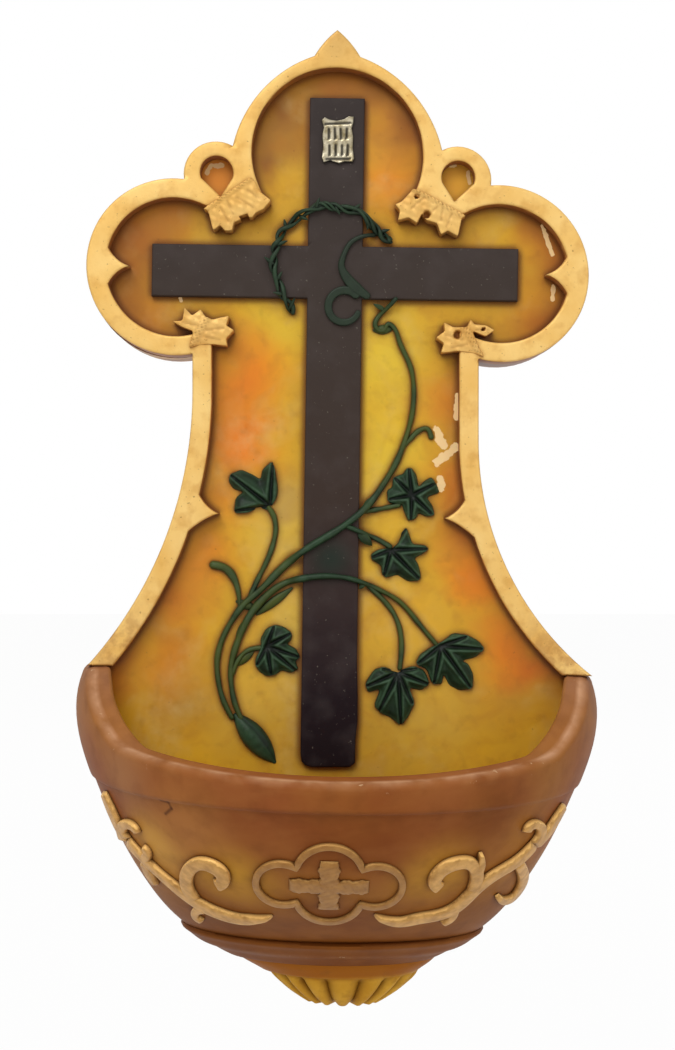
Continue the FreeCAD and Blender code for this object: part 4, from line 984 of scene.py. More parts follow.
def makeCross():
    w, b, h = cross["width"] / 2, cross["beamHalf"], cross["beamHeight"] / 2
    z, foot = cross["beamZ"], cross["bottom"]
    outline = np.array([(-w, cross["top"]), (w, cross["top"]), (w, z + h), (b, z + h), (b, z - h), (w, z - h),
                        (w + 0.1, -92.0), (w + 0.35, -99.0), (w + 0.4, -104.0), (w, -108.0),
                        (w, foot + 1.0), (w - 1.0, foot + 0.1), (-w + 2.2, foot), (-w + 0.9, foot + 0.4),
                        (-w + 0.2, foot + 1.3), (-w, foot + 3.0), (-w, z - h), (-b, z - h), (-b, z + h),
                        (-w, z + h)])
    outline = leaning(outline)

    def height(x, z, edge):
        # nearly flat, with the slow unevenness of a cast slat
        return cross["thickness"] - 0.04 + 0.04 * np.sin(x * 0.35) * np.sin(z * 0.13 + 0.6)

    points, faces, _, _ = reliefPlate([outline], plate["front"], height, 1.6, 0.35)
    piece = meshPiece("paintedCross", [(points, faces)])
    sharpen(piece, 50)
    return dress(piece, slatePaint, ["cross"])


makeCross()

plaque = {
    "centre": (0.1, 15.8),
    "outline": (
        (-3.4, 4.1), (-2.7, 4.7), (-1.6, 4.2), (-0.2, 4.0), (1.2, 4.3), (2.2, 4.9), (3.3, 4.8),
        (3.2, 3.6), (2.9, 2.4), (3.2, 0.6), (3.1, -1.6), (3.4, -3.8), (3.0, -4.6), (1.4, -4.5),
        (0.2, -4.9), (-1.6, -4.3), (-3.0, -4.7), (-3.4, -3.6), (-3.1, -1.4), (-3.3, 1.0), (-3.0, 2.6)),
    # plain tally strokes in two rows, each from one spot to another
    "strokes": (
        ((-1.9, 2.3), (-1.9, 0.3)), ((-0.7, 2.4), (-0.6, 0.3)), ((0.5, 2.3), (0.6, 0.3)),
        ((1.8, 2.4), (1.7, 0.4)), ((-1.8, -1.1), (-1.8, -3.2)), ((-0.5, -1.0), (-0.5, -3.2)),
        ((0.8, -1.1), (0.8, -3.1)), ((2.0, -1.0), (1.9, -3.2)), ((-2.6, 3.3), (2.5, 3.5)),
        ((-2.4, -3.9), (2.3, -3.9))),
}


def makePlaque():
    # a thin ragged sheet, scored
    outline = np.array(plaque["outline"]) + plaque["centre"]
    starts = np.array([a for a, _ in plaque["strokes"]]) + plaque["centre"]
    ends = np.array([b for _, b in plaque["strokes"]]) + plaque["centre"]

    def height(x, z, edge):
        # thin sheet whose top and foot curl towards the front, scored by the strokes
        v = (z - plaque["centre"][1]) / 4.8
        away = awayFromRuns(np.stack([x, z], -1), starts, ends)
        return 0.55 + 0.35 * np.clip(np.abs(v) - 0.55, 0, 1) ** 1.2 * 1.6 - 0.30 * np.exp(-(away / 0.27) ** 2)

    back = plate["front"] - cross["thickness"] + 0.05
    points, faces, flat, edge = reliefPlate([outline], back, height, 0.22, 0.22)
    groove = np.exp(-(awayFromRuns(flat, starts, ends) / 0.30) ** 2) + 0.9 * np.exp(-(edge / 0.20) ** 2)
    groove = np.clip(np.concatenate([groove, groove]), 0, 1)
    piece = meshPiece("titlePlaque", [(points, faces)], {"groove": groove})
    return dress(piece, silvering, ["title_plaque"])


makePlaque()

print("stage: vine")

vine = {
    "mainRadius": 0.66,
    "twigRadius": 0.52,
    "sink": 0.25,
    "climb": 3.4,
    "runs": {
        "upper_vine": (
            (12.0, -17.0), (10.2, -18.8), (8.2, -20.8), (7.9, -22.6), (9.6, -23.3), (10.5, -21.9),
            (11.4, -22.4), (12.7, -25.2), (15.0, -30.5), (15.8, -35.6), (15.4, -40.8), (14.0, -46.0),
            (11.9, -51.1), (9.4, -55.3), (6.7, -59.0), (3.0, -62.5), (-1.6, -65.6), (-6.7, -68.7),
            (-11.9, -72.9), (-16.0, -77.0), (-19.3, -79.9), (-21.9, -83.4), (-23.9, -87.3),
            (-24.9, -91.5), (-24.7, -95.6), (-23.7, -99.7), (-21.9, -103.4)),
        "curl_twig": ((13.4, -47.4), (15.2, -45.6), (16.9, -44.0), (18.5, -43.6), (19.4, -45.3)),
        "leaf_stalk_2": ((5.0, -60.8), (7.8, -60.4), (10.4, -59.9), (12.6, -59.4)),
        "leaf_stalk_3": ((1.6, -63.6), (5.2, -65.2), (8.4, -66.6), (10.8, -68.0)),
        "lower_vine": (
            (20.4, -88.2), (16.4, -83.4), (12.9, -79.5), (7.8, -76.6), (3.6, -74.9), (-1.6, -74.1),
            (-6.7, -74.5), (-10.9, -75.6), (-14.9, -78.4), (-17.7, -81.6), (-19.6, -85.0), (-21.0, -88.6),
            (-22.0, -92.5), (-22.0, -96.6), (-21.2, -100.6), (-20.0, -103.6)),
        "leaf_stalk_5": ((6.4, -76.2), (9.6, -79.2), (11.9, -82.4), (13.1, -86.3), (12.9, -93.2)),
        "leaf_stalk_1": (
            (-18.3, -78.9), (-16.8, -75.4), (-15.0, -71.8), (-13.4, -67.7), (-12.8, -64.2),
            (-13.4, -61.3), (-14.2, -60.0)),
        "side_shoot": ((-25.7, -71.8), (-23.3, -72.5), (-21.2, -75.2), (-20.2, -80.9)),
        "leaf_stalk_4": ((-21.9, -94.6), (-20.5, -91.4), (-18.2, -89.4), (-15.8, -89.0)),
    },
}


def climbing(flat, radius):
    # a stem lies a little sunk in the plate and climbs smoothly over the cross
    near = np.clip(1 - crossDistance(flat[:, 0], flat[:, 1]) / vine["climb"], 0, 1)
    rise = near * near * (3 - 2 * near)
    y = plate["front"] - rise * cross["thickness"] - radius + vine["sink"]
    return np.stack([flat[:, 0], y, flat[:, 1]], -1)


# small folded bracts on the stems: start, end and radius
bracts = {
    "upper_vine": (
        ((7.6, -23.2), (11.4, -22.9), 1.0), ((7.6, -18.0), (10.2, -19.3), 0.5),
        ((-20.8, -79.4), (-16.9, -80.9), 1.0), ((5.2, -61.2), (6.9, -57.9), 0.75)),
    "lower_vine": (
        ((-16.7, -82.0), (-9.4, -76.6), 0.95), ((-20.9, -87.6), (-18.7, -82.8), 0.85),
        ((4.6, -76.6), (5.6, -75.4), 0.6)),
    "leaf_stalk_3": (((4.3, -65.0), (7.0, -67.7), 1.0),),
    "leaf_stalk_4": (((-20.7, -92.6), (-17.2, -89.4), 0.8),),
}


def makeStalk(name, spots, radius):
    # a tube along the spots whose radius swells and shrinks in slow waves; each bract is a
    # spindle along a short run, pressed flat
    flat = throughSpots(spots, max(24, int(len(spots) * 9)))
    share = np.linspace(0, 1, len(flat))
    swell = 1 + 0.07 * np.sin(share * len(spots) * 2.3 + len(name)) + 0.05 * np.sin(share * len(spots) * 5.1)
    if name.endswith("vine"):      # thin at the ends, stout where it crosses the cross
        swell *= np.interp(share, (0.0, 0.3, 0.5, 0.68, 0.82, 1.0), (0.72, 0.78, 1.1, 1.2, 0.9, 0.8))
    if name == "side_shoot":       # broad and blunt at its free end
        swell *= np.interp(share, (0.0, 0.25, 0.6, 1.0), (1.7, 1.7, 1.1, 0.8))
    path = climbing(flat, radius)
    points, quads = twigTube(path, radius * swell, 16)
    middle = np.repeat(np.concatenate([[path[0, 1]] * 4, path[:, 1], [path[-1, 1]] * 4]), 16)
    # painted highlight on the front of the stem, the part that stands furthest forward
    rub = np.clip((middle - points[:, 1]) / radius, 0, 1) ** 3 * 0.4
    groups, ridges = [(points, quads)], [rub]
    for start, end, girth in bracts.get(name, ()):
        run = np.array(start) + (np.array(end) - start) * np.linspace(0, 1, 24)[:, None]
        line = climbing(run, 0.3)
        points, quads = twigTube(line, girth * np.sin(np.linspace(0.25, math.pi - 0.12, 24)) ** 0.8, 14)
        points[:, 1] = line[0, 1] + (points[:, 1] - line[0, 1]) * 0.7
        groups.append((points, quads))
        around = np.linspace(0, 2 * math.pi, 14, endpoint=False)
        # painted highlight in three lines along each bract
        ridges.append(np.tile(np.abs(np.sin(around * 1.5)) ** 4 * 0.5, len(points) // 14))
    spots = np.concatenate([g for g, _ in groups])
    olive = np.clip(crossDistance(spots[:, 0], spots[:, 2]) / 5, 0, 1)
    piece = meshPiece(name, groups, {"ridge": np.concatenate(ridges), "olive": olive})
    return dress(piece, ivyPaint, [name])


for stalkName, stalkSpots in vine["runs"].items():
    makeStalk(stalkName, stalkSpots, vine["mainRadius"] if stalkName.endswith("vine") else vine["twigRadius"])

crown = {
    "spots": (
        (-9.2, -19.7), (-10.8, -17.2), (-12.5, -13.1), (-13.3, -10.0), (-12.7, -6.9), (-10.8, -2.4),
        (-8.3, -0.4), (-5.7, 1.3), (-2.6, 2.1), (1.5, 1.7), (4.6, 0.9), (7.1, -1.2), (9.2, -3.2),
        (10.8, -5.0)),
    "strand": 0.41,
    "offset": 0.66,
    "turns": 5.5,
    "thorns": (
        (0.03, 2.4), (0.10, -1.9), (0.17, 2.0), (0.25, -2.2), (0.34, 2.2), (0.43, -1.9), (0.52, 1.9),
        (0.60, -2.1), (0.69, 1.9), (0.78, -1.8), (0.86, 2.1), (0.94, -1.9)),
}


def makeCrown():
    # two strands wound about one another along an open ring, with short thorns
    flat = throughSpots(crown["spots"], 220)
    spine = climbing(flat, crown["strand"] + crown["offset"] * 0.8)
    along, front, side = sideways(spine)
    share = np.linspace(0, 1, len(spine))
    groups, ridges = [], []
    for phase, first in ((0.0, 0), (math.pi, 0), (1.9, 120)):      # the third runs over the right part only
        turn = 2 * math.pi * crown["turns"] * share + phase + 0.8 * np.sin(share * 19)
        sway = crown["offset"] * (0.85 + 0.35 * np.sin(share * 27 + phase))[:, None]
        path = spine + sway * (front * np.cos(turn)[:, None] * 0.7 + side * np.sin(turn)[:, None])
        path = path[first:]
        radius = crown["strand"] * (1 + 0.25 * np.sin(share[first:] * 41 + phase))
        points, quads = twigTube(path, radius, 12)
        groups.append((points, quads))
        # painted highlight on what stands furthest forward; the thorns carry a little of it
        ridges.append(np.clip((spine[:, 1].mean() - points[:, 1]) / 1.4, 0, 1))
    for place, reach in crown["thorns"]:
        k = int(place * (len(spine) - 1))
        lean = side[k] * math.copysign(1.0, reach) + along[k] * 0.7 + front[k] * 0.25
        tip = spine[k] + lean / np.linalg.norm(lean) * abs(reach)
        path = spine[k] + (tip - spine[k]) * np.linspace(0, 1, 6)[:, None]
        points, quads = twigTube(path, np.array([0.36, 0.46, 0.44, 0.36, 0.24, 0.10]), 8)
        groups.append((points, quads))
        ridges.append(np.full(len(points), 0.25))
    ridge = np.concatenate(ridges)
    piece = meshPiece("twistedCrown", groups, {"ridge": ridge * 0.4, "dull": np.full(len(ridge), 0.25)})
    return dress(piece, ivyPaint, ["wreath"])


makeCrown()

tendril = {
    "run": (
        (7.6, -3.6), (5.0, -4.1), (2.6, -5.5), (1.3, -7.9), (0.8, -10.2), (1.8, -12.4), (3.5, -14.4),
        (6.0, -16.3)),
    "runRadii": (0.42, 0.45, 0.5, 0.55, 0.7, 1.05, 1.2, 0.8),
    "coilCentre": (1.4, -18.6),
    "coilRadii": (3.5, 3.1),
    "coilTurn": (48.0, 336.0),
    "coilTube": (0.95, 0.85, 0.8, 0.75, 0.6),
    "seat": 0.55,        # radius with which both are laid on
    "proud": 0.8,        # how far the run stands before the cross
    "coilProud": 0.72,
    "highlit": -11.4,     # depth in front of which a painted highlight is laid on
}


def tendrilPiece(name, node, flat, radii, proud):
    # a tube whose front is flattened where it would stand out further than proud
    points, quads = twigTube(climbing(flat, tendril["seat"]), radii, 14)
    points[:, 1] = np.maximum(points[:, 1], plate["front"] - cross["thickness"] - proud)
    # painted highlight on what stands in front of the set depth
    ridge = np.clip((tendril["highlit"] - points[:, 1]) / 0.9, 0, 1) * 0.3
    piece = meshPiece(name, [(points, quads)], {"ridge": ridge, "dull": np.full(len(points), 0.6)})
    return dress(piece, ivyPaint, [node])


def makeTendril():
    # the run follows its spots; the coil is part of a spiral whose radius shrinks with its turn
    flat = throughSpots(tendril["run"], 70)
    tendrilPiece("tendrilRun", "tendril_run", flat, alongShares(tendril["runRadii"], 70), tendril["proud"])
    turn = np.radians(np.linspace(*tendril["coilTurn"], 90))
    reach = np.linspace(*tendril["coilRadii"], 90)
    flat = np.array(tendril["coilCentre"]) + reach[:, None] * np.stack([np.cos(turn), np.sin(turn)], -1)
    radii = alongShares(tendril["coilTube"], 90)
    tendrilPiece("tendrilCoil", "tendril_coil", flat, radii, tendril["coilProud"])


makeTendril()

bud = {
    "start": (-20.9, -103.2),
    "end": (-13.1, -112.6),
    "radius": 2.5,
    "profile": (0.34, 0.66, 0.90, 1.0, 0.97, 0.84, 0.58, 0.20),
}


def makeBud():
    # pointed bud: a round profile along a straight run, with three shallow folds
    share = np.linspace(0, 1, 40)
    start, end = np.array(bud["start"]), np.array(bud["end"])
    flat = start + (end - start) * share[:, None]
    path = np.stack([flat[:, 0], np.full(40, plate["front"] + 0.2), flat[:, 1]], -1)
    radius = bud["radius"] * alongShares(bud["profile"], 40)
    points, quads = twigTube(path, radius, 36)
    rows = np.concatenate([np.repeat(path[:1], 4, 0), path, np.repeat(path[-1:], 4, 0)])
    arm = points.reshape(-1, 36, 3) - rows[:, None]
    turn = np.linspace(0, 2 * math.pi, 36, endpoint=False)
    fold = np.exp(-((np.abs(((turn - 0.5) % 2.09) - 1.045)) / 0.16) ** 2)
    arm *= (1 - 0.10 * fold)[None, :, None]
    arm[..., 1] *= 0.92
    points = (rows[:, None] + arm).reshape(-1, 3)
    # painted shade in the three folds and a painted highlight on one side
    groove = np.tile(fold, len(rows)) * 0.55
    lift = np.clip(np.tile(np.cos(turn - 0.5), len(rows)), 0, 1) ** 3
    piece = meshPiece("ivyBud", [(points, quads)], {"groove": groove, "ridge": lift * 0.7})
    return dress(piece, ivyPaint, ["flower_bud"])


makeBud()

print("stage: ivy leaves")

# each leaf: its outline, the foot of its veins and the tips that they run to
leaves = {
    "ivy_leaf_1": {
        "outline": (
            (-14.2, -60.5), (-12.5, -57.8), (-12.3, -55.9), (-12.9, -52.2), (-13.5, -50.3),
            (-15.6, -52.0), (-16.0, -54.0), (-17.5, -53.0), (-19.9, -52.0), (-22.2, -53.0),
            (-22.6, -54.5), (-21.6, -56.1), (-19.5, -56.7), (-21.2, -57.8), (-21.4, -61.1),
            (-18.7, -61.1), (-16.4, -60.0)),
        "foot": (-14.0, -59.6),
        "tips": ((-21.9, -53.4), (-13.4, -50.9), (-21.0, -60.6)),
    },
    "ivy_leaf_2": {
        "outline": (
            (12.7, -59.6), (10.4, -58.8), (10.2, -56.3), (11.3, -55.7), (11.5, -53.8), (12.7, -53.2),
            (13.5, -53.0), (14.4, -51.8), (15.4, -51.8), (16.4, -53.2), (16.8, -55.7), (18.1, -54.3),
            (19.5, -53.6), (20.6, -55.3), (21.2, -56.9), (18.5, -57.8), (19.7, -59.6), (20.1, -61.5),
            (18.5, -61.9), (16.8, -61.1), (16.2, -62.3), (14.6, -62.7), (13.9, -61.1), (13.3, -59.4)),
        "foot": (15.4, -57.4),
        "tips": (
            (14.8, -52.1), (20.2, -55.0), (19.4, -61.2), (15.2, -62.3), (10.9, -58.2), (12.0, -54.0)),
    },
    "ivy_leaf_3": {
        "outline": (
            (10.6, -68.3), (12.5, -67.5), (13.1, -65.4), (14.2, -64.0), (15.0, -65.8), (15.6, -67.5),
            (18.1, -67.7), (18.9, -68.5), (17.7, -69.5), (16.0, -70.4), (16.8, -71.8), (17.3, -74.1),
            (16.8, -75.1), (14.6, -75.3), (12.3, -73.9), (10.0, -74.5), (9.2, -73.7), (9.0, -72.0),
            (7.1, -70.8), (6.9, -69.7), (8.2, -68.7)),
        "foot": (11.0, -68.7),
        "tips": ((14.1, -64.5), (18.4, -68.5), (16.7, -74.5), (9.7, -73.9), (7.3, -70.2)),
    },
    "ivy_leaf_4": {
        "outline": (
            (-15.8, -89.0), (-16.0, -87.1), (-14.8, -85.0), (-12.9, -84.2), (-11.1, -84.6), (-9.4, -86.0),
            (-9.6, -87.4), (-10.4, -88.2), (-8.6, -89.2), (-7.7, -90.8), (-8.7, -91.8), (-8.1, -93.4),
            (-9.6, -94.2), (-11.6, -93.7), (-12.8, -94.6), (-14.8, -94.9), (-16.2, -94.0), (-17.0, -92.6),
            (-17.0, -91.2)),
        "foot": (-14.6, -88.6),
        "tips": (
            (-13.2, -84.7), (-9.9, -86.1), (-8.2, -90.8), (-8.7, -93.6), (-13.7, -94.4), (-16.6, -92.4)),
    },
    "ivy_leaf_5": {
        "outline": (
            (12.7, -93.7), (11.7, -93.7), (9.6, -92.9), (7.5, -93.5), (5.7, -96.4), (6.3, -98.3),
            (8.8, -97.6), (7.5, -101.0), (9.0, -102.6), (10.8, -103.4), (13.1, -105.1), (14.8, -103.2),
            (16.0, -100.3), (14.8, -97.2), (17.3, -97.9), (19.1, -96.4), (18.1, -93.7), (15.8, -92.7)),
        "foot": (12.6, -94.0),
        "tips": (
            (6.2, -96.8), (8.6, -102.0), (13.1, -104.6), (15.4, -100.4), (18.6, -96.4), (9.4, -93.4),
            (16.4, -93.3)),
    },
    "ivy_leaf_6": {
        "outline": (
            (20.4, -88.3), (19.1, -89.0), (17.0, -90.4), (16.2, -92.3), (18.5, -93.5), (19.5, -96.4),
            (21.6, -96.6), (22.0, -94.5), (23.0, -96.8), (25.1, -97.9), (28.0, -97.4), (28.2, -94.5),
            (27.2, -92.3), (25.9, -91.7), (28.6, -91.0), (30.5, -89.2), (29.2, -87.5), (26.8, -86.3),
            (23.9, -85.9), (22.0, -87.5)),
        "foot": (21.4, -88.6),
        "tips": ((16.8, -92.1), (20.0, -96.1), (27.4, -97.0), (29.8, -89.2), (26.6, -86.7)),
    },
}


def softOutline(spots, pull):
    # each corner of a closed outline is cut back towards its neighbours
    spots = np.asarray(spots, float)
    before, after = np.roll(spots, 1, 0), np.roll(spots, -1, 0)
    return np.stack([spots + (before - spots) * pull, spots * (1 - pull) + (before + after) * pull / 2,
                     spots + (after - spots) * pull], 1).reshape(-1, 2)


def makeLeaf(name, leaf):
    # a low plate over the softened outline, folded along its veins
    outline = softOutline(leaf["outline"], 0.16)
    foot = np.array(leaf["foot"])
    tips = np.array(leaf["tips"])
    starts = np.repeat(foot[None], len(tips), 0)

    def veinWidth(share):
        return 0.40 * (1.15 - 0.6 * share)

    def veinField(flat):
        # distance to the nearest vein, and how far along it the spot lies
        best, share = np.full(len(flat), 1e9), np.zeros(len(flat))
        for a, b in zip(starts, tips):
            run = b - a
            t = np.clip(((flat - a) @ run) / (run @ run), 0, 1)
            away = np.linalg.norm(flat - a - t[:, None] * run, axis=1)
            share = np.where(away < best, t, share)
            best = np.minimum(best, away)
        return best, share

    def height(x, z, edge):
        # swelling lobes: high beside each vein, which is a narrow groove between two lips,
        # and falling to the rim and to the valleys between the lobes
        away, share = veinField(np.stack([x, z], -1))
        width = veinWidth(share)
        lips = np.exp(-((away - 2.1 * width) / (1.1 * width)) ** 2)
        cut = np.exp(-(away / width) ** 2)
        swell = np.clip(edge / 1.3, 0, 1) ** 0.7
        valley = np.clip((away - 0.9) / 1.8, 0, 1)
        return 0.75 + 0.72 * swell + 0.34 * lips - 0.85 * cut * (1 - 0.4 * share) - 0.55 * valley

    points, faces, flat, edge = reliefPlate([outline], plate["front"] + 0.2, height, 0.30, 0.38)
    away, share = veinField(flat)
    width = veinWidth(share)
    # painted shade along the veins and between the lobes, and a painted highlight on the lips beside the
    # veins and along the rim
    groove = np.exp(-(away / (0.95 * width)) ** 2) * (1 - 0.25 * share)
    dusk = 0.55 * np.clip((away - 1.1) / 1.2, 0, 1) * np.clip(edge / 0.8, 0, 1)      # shade between the lobes
    groove = np.maximum(groove, dusk)
    ridge = 0.9 * np.exp(-((away - 2.0 * width) / (0.7 * width)) ** 2)
    ridge += 0.75 * np.exp(-((edge - 0.30) / 0.20) ** 2)
    both = {"groove": np.clip(np.concatenate([groove, groove]), 0, 1),
            "ridge": np.clip(np.concatenate([ridge, ridge]), 0, 1)}
    piece = meshPiece(name.replace("ivy_leaf_", "ivyLeaf"), [(points, faces)], both)
    return dress(piece, ivyPaint, [name])


for leafName, leaf in leaves.items():
    makeLeaf(leafName, leaf)

print("stage: gilt sprigs")

# each sprig: outline, twig that crosses it, creases of its leaves and drilled holes
sprigs = {
    "sprig_upper_left": {
        "outline": (
            (-27.5, 1.3), (-26.5, 0.7), (-25.5, -3.2), (-24.1, -2.1), (-23.0, -3.2), (-21.6, -3.2),
            (-21.2, -1.5), (-19.8, -0.9), (-20.2, -0.3), (-18.5, 0.3), (-18.1, -0.5), (-17.5, -0.5),
            (-16.7, 0.5), (-15.3, 1.1), (-13.6, 3.0), (-15.9, 4.8), (-16.9, 6.9), (-17.9, 7.7)),
        "twig": ((-27.8, 1.0), (-17.6, 7.9)),
        "creases": (
            ((-24.0, 1.6), (-22.4, -1.2)), ((-20.6, 3.6), (-17.4, 1.6)), ((-22.6, 2.9), (-21.4, 0.2)),
            ((-18.4, 5.0), (-15.8, 3.2))),
        "holes": (),
    },
    "sprig_upper_right": {
        "outline": (
            (15.7, 5.6), (13.2, 2.8), (11.8, 2.2), (12.8, 0.9), (12.4, -1.1), (14.6, -0.5), (16.3, -1.7),
            (17.3, 0.3), (18.3, -1.1), (20.4, -1.7), (21.2, -4.0), (22.6, -3.2), (24.7, -4.4),
            (25.5, -0.7), (26.3, -0.1)),
        "twig": ((15.2, 6.0), (26.8, -0.6)),
        "creases": (
            ((17.6, 3.4), (15.2, 1.4)), ((20.4, 1.6), (18.4, -0.4)), ((23.4, 0.2), (22.4, -2.4)),
            ((21.6, 2.0), (21.2, -1.2))),
        "holes": (((18.3, 0.1), 0.7), ((16.3, 3.8), 0.45)),
    },
    "sprig_lower_left": {
        "outline": (
            (-30.4, -27.3), (-29.6, -23.8), (-31.8, -23.0), (-33.9, -21.8), (-31.8, -21.6),
            (-31.4, -18.9), (-29.8, -20.6), (-28.1, -19.3), (-27.1, -20.8), (-25.7, -21.4),
            (-22.2, -20.6), (-22.8, -22.6), (-21.2, -23.6), (-22.8, -25.3), (-22.6, -26.9),
            (-25.5, -26.5), (-28.6, -26.7)),
        "twig": ((-26.6, -20.8), (-30.4, -27.4)),
        "creases": (
            ((-29.2, -22.6), (-31.8, -22.0)), ((-26.8, -23.6), (-23.4, -23.2)),
            ((-27.0, -25.0), (-24.0, -25.6))),
        "holes": (),
    },
    "sprig_lower_right": {
        "outline": (
            (21.8, -22.0), (22.0, -23.8), (20.2, -25.1), (21.8, -26.3), (21.2, -28.3), (24.5, -27.9),
            (27.9, -28.3), (30.0, -29.2), (28.8, -26.9), (27.7, -23.8), (30.4, -24.9), (32.2, -23.6),
            (30.4, -22.6), (28.1, -22.4), (27.3, -21.4), (26.5, -23.0), (23.8, -23.0)),
        "twig": ((26.0, -22.8), (30.0, -29.4)),
        "creases": (
            ((25.6, -25.6), (22.2, -24.6)), ((28.2, -23.6), (31.0, -23.6)),
            ((26.6, -26.6), (23.4, -27.2))),
        "holes": (((24.6, -24.5), 0.75), ((29.9, -23.4), 0.32)),
    },
}


def makeSprig(name, sprig):
    # a low plate over the softened outline, marked by its twig, scores, creases and holes
    twigStart, twigEnd = (np.array(p) for p in sprig["twig"])
    creaseStarts = np.array([a for a, _ in sprig["creases"]], float)
    creaseEnds = np.array([b for _, b in sprig["creases"]], float)
    run = (twigEnd - twigStart) / np.linalg.norm(twigEnd - twigStart)
    rise = -0.5 + (plate["front"] + 0.2) - (plate["borderFront"] - 0.7)

    def marks(flat):
        # distance to the twig, diagonal scores across it, creases and holes
        onTwig = awayFromRuns(flat, [twigStart], [twigEnd])
        along = (flat - twigStart) @ run
        across = (flat - twigStart) @ np.array([-run[1], run[0]])
        score = np.abs(((along + across * 1.2) / 0.9) % 1.0 - 0.5) * 2
        scores = np.exp(-((1 - score) / 0.28) ** 2) * np.exp(-(onTwig / 0.75) ** 4)
        crease = np.exp(-(awayFromRuns(flat, creaseStarts, creaseEnds) / 0.24) ** 2)
        hole = np.zeros(len(flat))
        for centre, radius in sprig["holes"]:
            inward = radius * 1.15 - np.linalg.norm(flat - centre, axis=1)
            hole = np.maximum(hole, np.clip(inward / (0.3 * radius), 0, 1))
        return onTwig, scores, crease, hole

    def height(x, z, edge):
        # a flat cast leaf with a rounded twig laid over it
        onTwig, scores, crease, hole = marks(np.stack([x, z], -1))
        roll = np.sqrt(np.clip(1 - (onTwig / 0.85) ** 2, 0, 1))
        folds = 0.10 * np.sin(x * 2.6 + z * 1.7) * np.sin(z * 2.2 - x * 0.9)
        swell = 0.2 * np.clip(edge / 1.2, 0, 1)
        return rise + swell + folds + 0.45 * roll - 0.20 * scores - 0.16 * crease - 1.6 * hole

    outline = softOutline(sprig["outline"], 0.10)
    points, faces, flat, _ = reliefPlate([outline], plate["front"] + 0.2, height, 0.32, 0.25)
    _, scores, crease, hole = marks(flat)
    # painted shade in the scores, creases and holes
    groove = np.clip(0.6 * scores + 0.35 * crease + hole, 0, 1)
    piece = meshPiece(name.replace("sprig_", "sprig.").replace("_", "."), [(points, faces)],
                      {"groove": np.concatenate([groove, groove]), "aged": np.full(len(points), 0.4)})
    return dress(piece, goldPaint, [name])


for sprigName, sprig in sprigs.items():
    makeSprig(sprigName, sprig)

print("stage: bowl")

bowl = {
    # height, half width and depth of the outside
    "lip": (
        (-93.5, 53.0, 52.6), (-98.0, 54.4, 54.2), (-103.0, 54.8, 54.8), (-108.5, 54.0, 55.0),
        (-116.3, 51.4, 53.9)),
    "body": (
        (-116.3, 51.1, 53.0), (-124.8, 47.6, 48.0), (-131.7, 44.2, 41.6), (-138.6, 40.0, 33.6),
        (-145.6, 34.4, 23.6), (-148.0, 31.7, 20.0)),
    "wall": 5.0,
    "floor": -143.2,
    "swoop": (
        (0.0, -93.5), (13.6, -93.5), (18.2, -95.6), (23.5, -99.6), (28.5, -103.6), (33.5, -107.2),
        (44.0, -108.8), (55.0, -110.6), (60.0, -110.6)),
    "outerRound": 1.6,
    "innerRound": 1.2,
    "columns": 181,
}


def profileAt(sections, z, which):
    # half width or depth of the outside at a height: a natural cubic spline down the sections
    rows = np.array(sections)[::-1]
    curve = throughSpots(rows[:, [0, which]], 240)
    order = np.argsort(curve[:, 0])
    return np.interp(z, curve[order, 0], curve[order, 1])


def swoopHeight(depth):
    # height of the top of the rim at a depth: straight runs smoothed by a bell-shaped mean
    rows = np.array(bowl["swoop"])
    soft = np.linspace(0, 60, 241)
    line = np.interp(soft, rows[:, 0], rows[:, 1])
    kernel = np.hanning(17)
    line = np.convolve(np.pad(line, 8, mode="edge"), kernel / kernel.sum(), mode="valid")
    return np.interp(depth, soft, line)


def rimHeight(theta, inset):
    # height of the rim where the wall, drawn in by inset, meets the swooping top
    z = np.full(len(theta), -108.0)
    for _ in range(12):
        z = 0.5 * z + 0.5 * swoopHeight((profileAt(bowl["lip"], z, 2) - inset) * np.sin(theta))
    return z


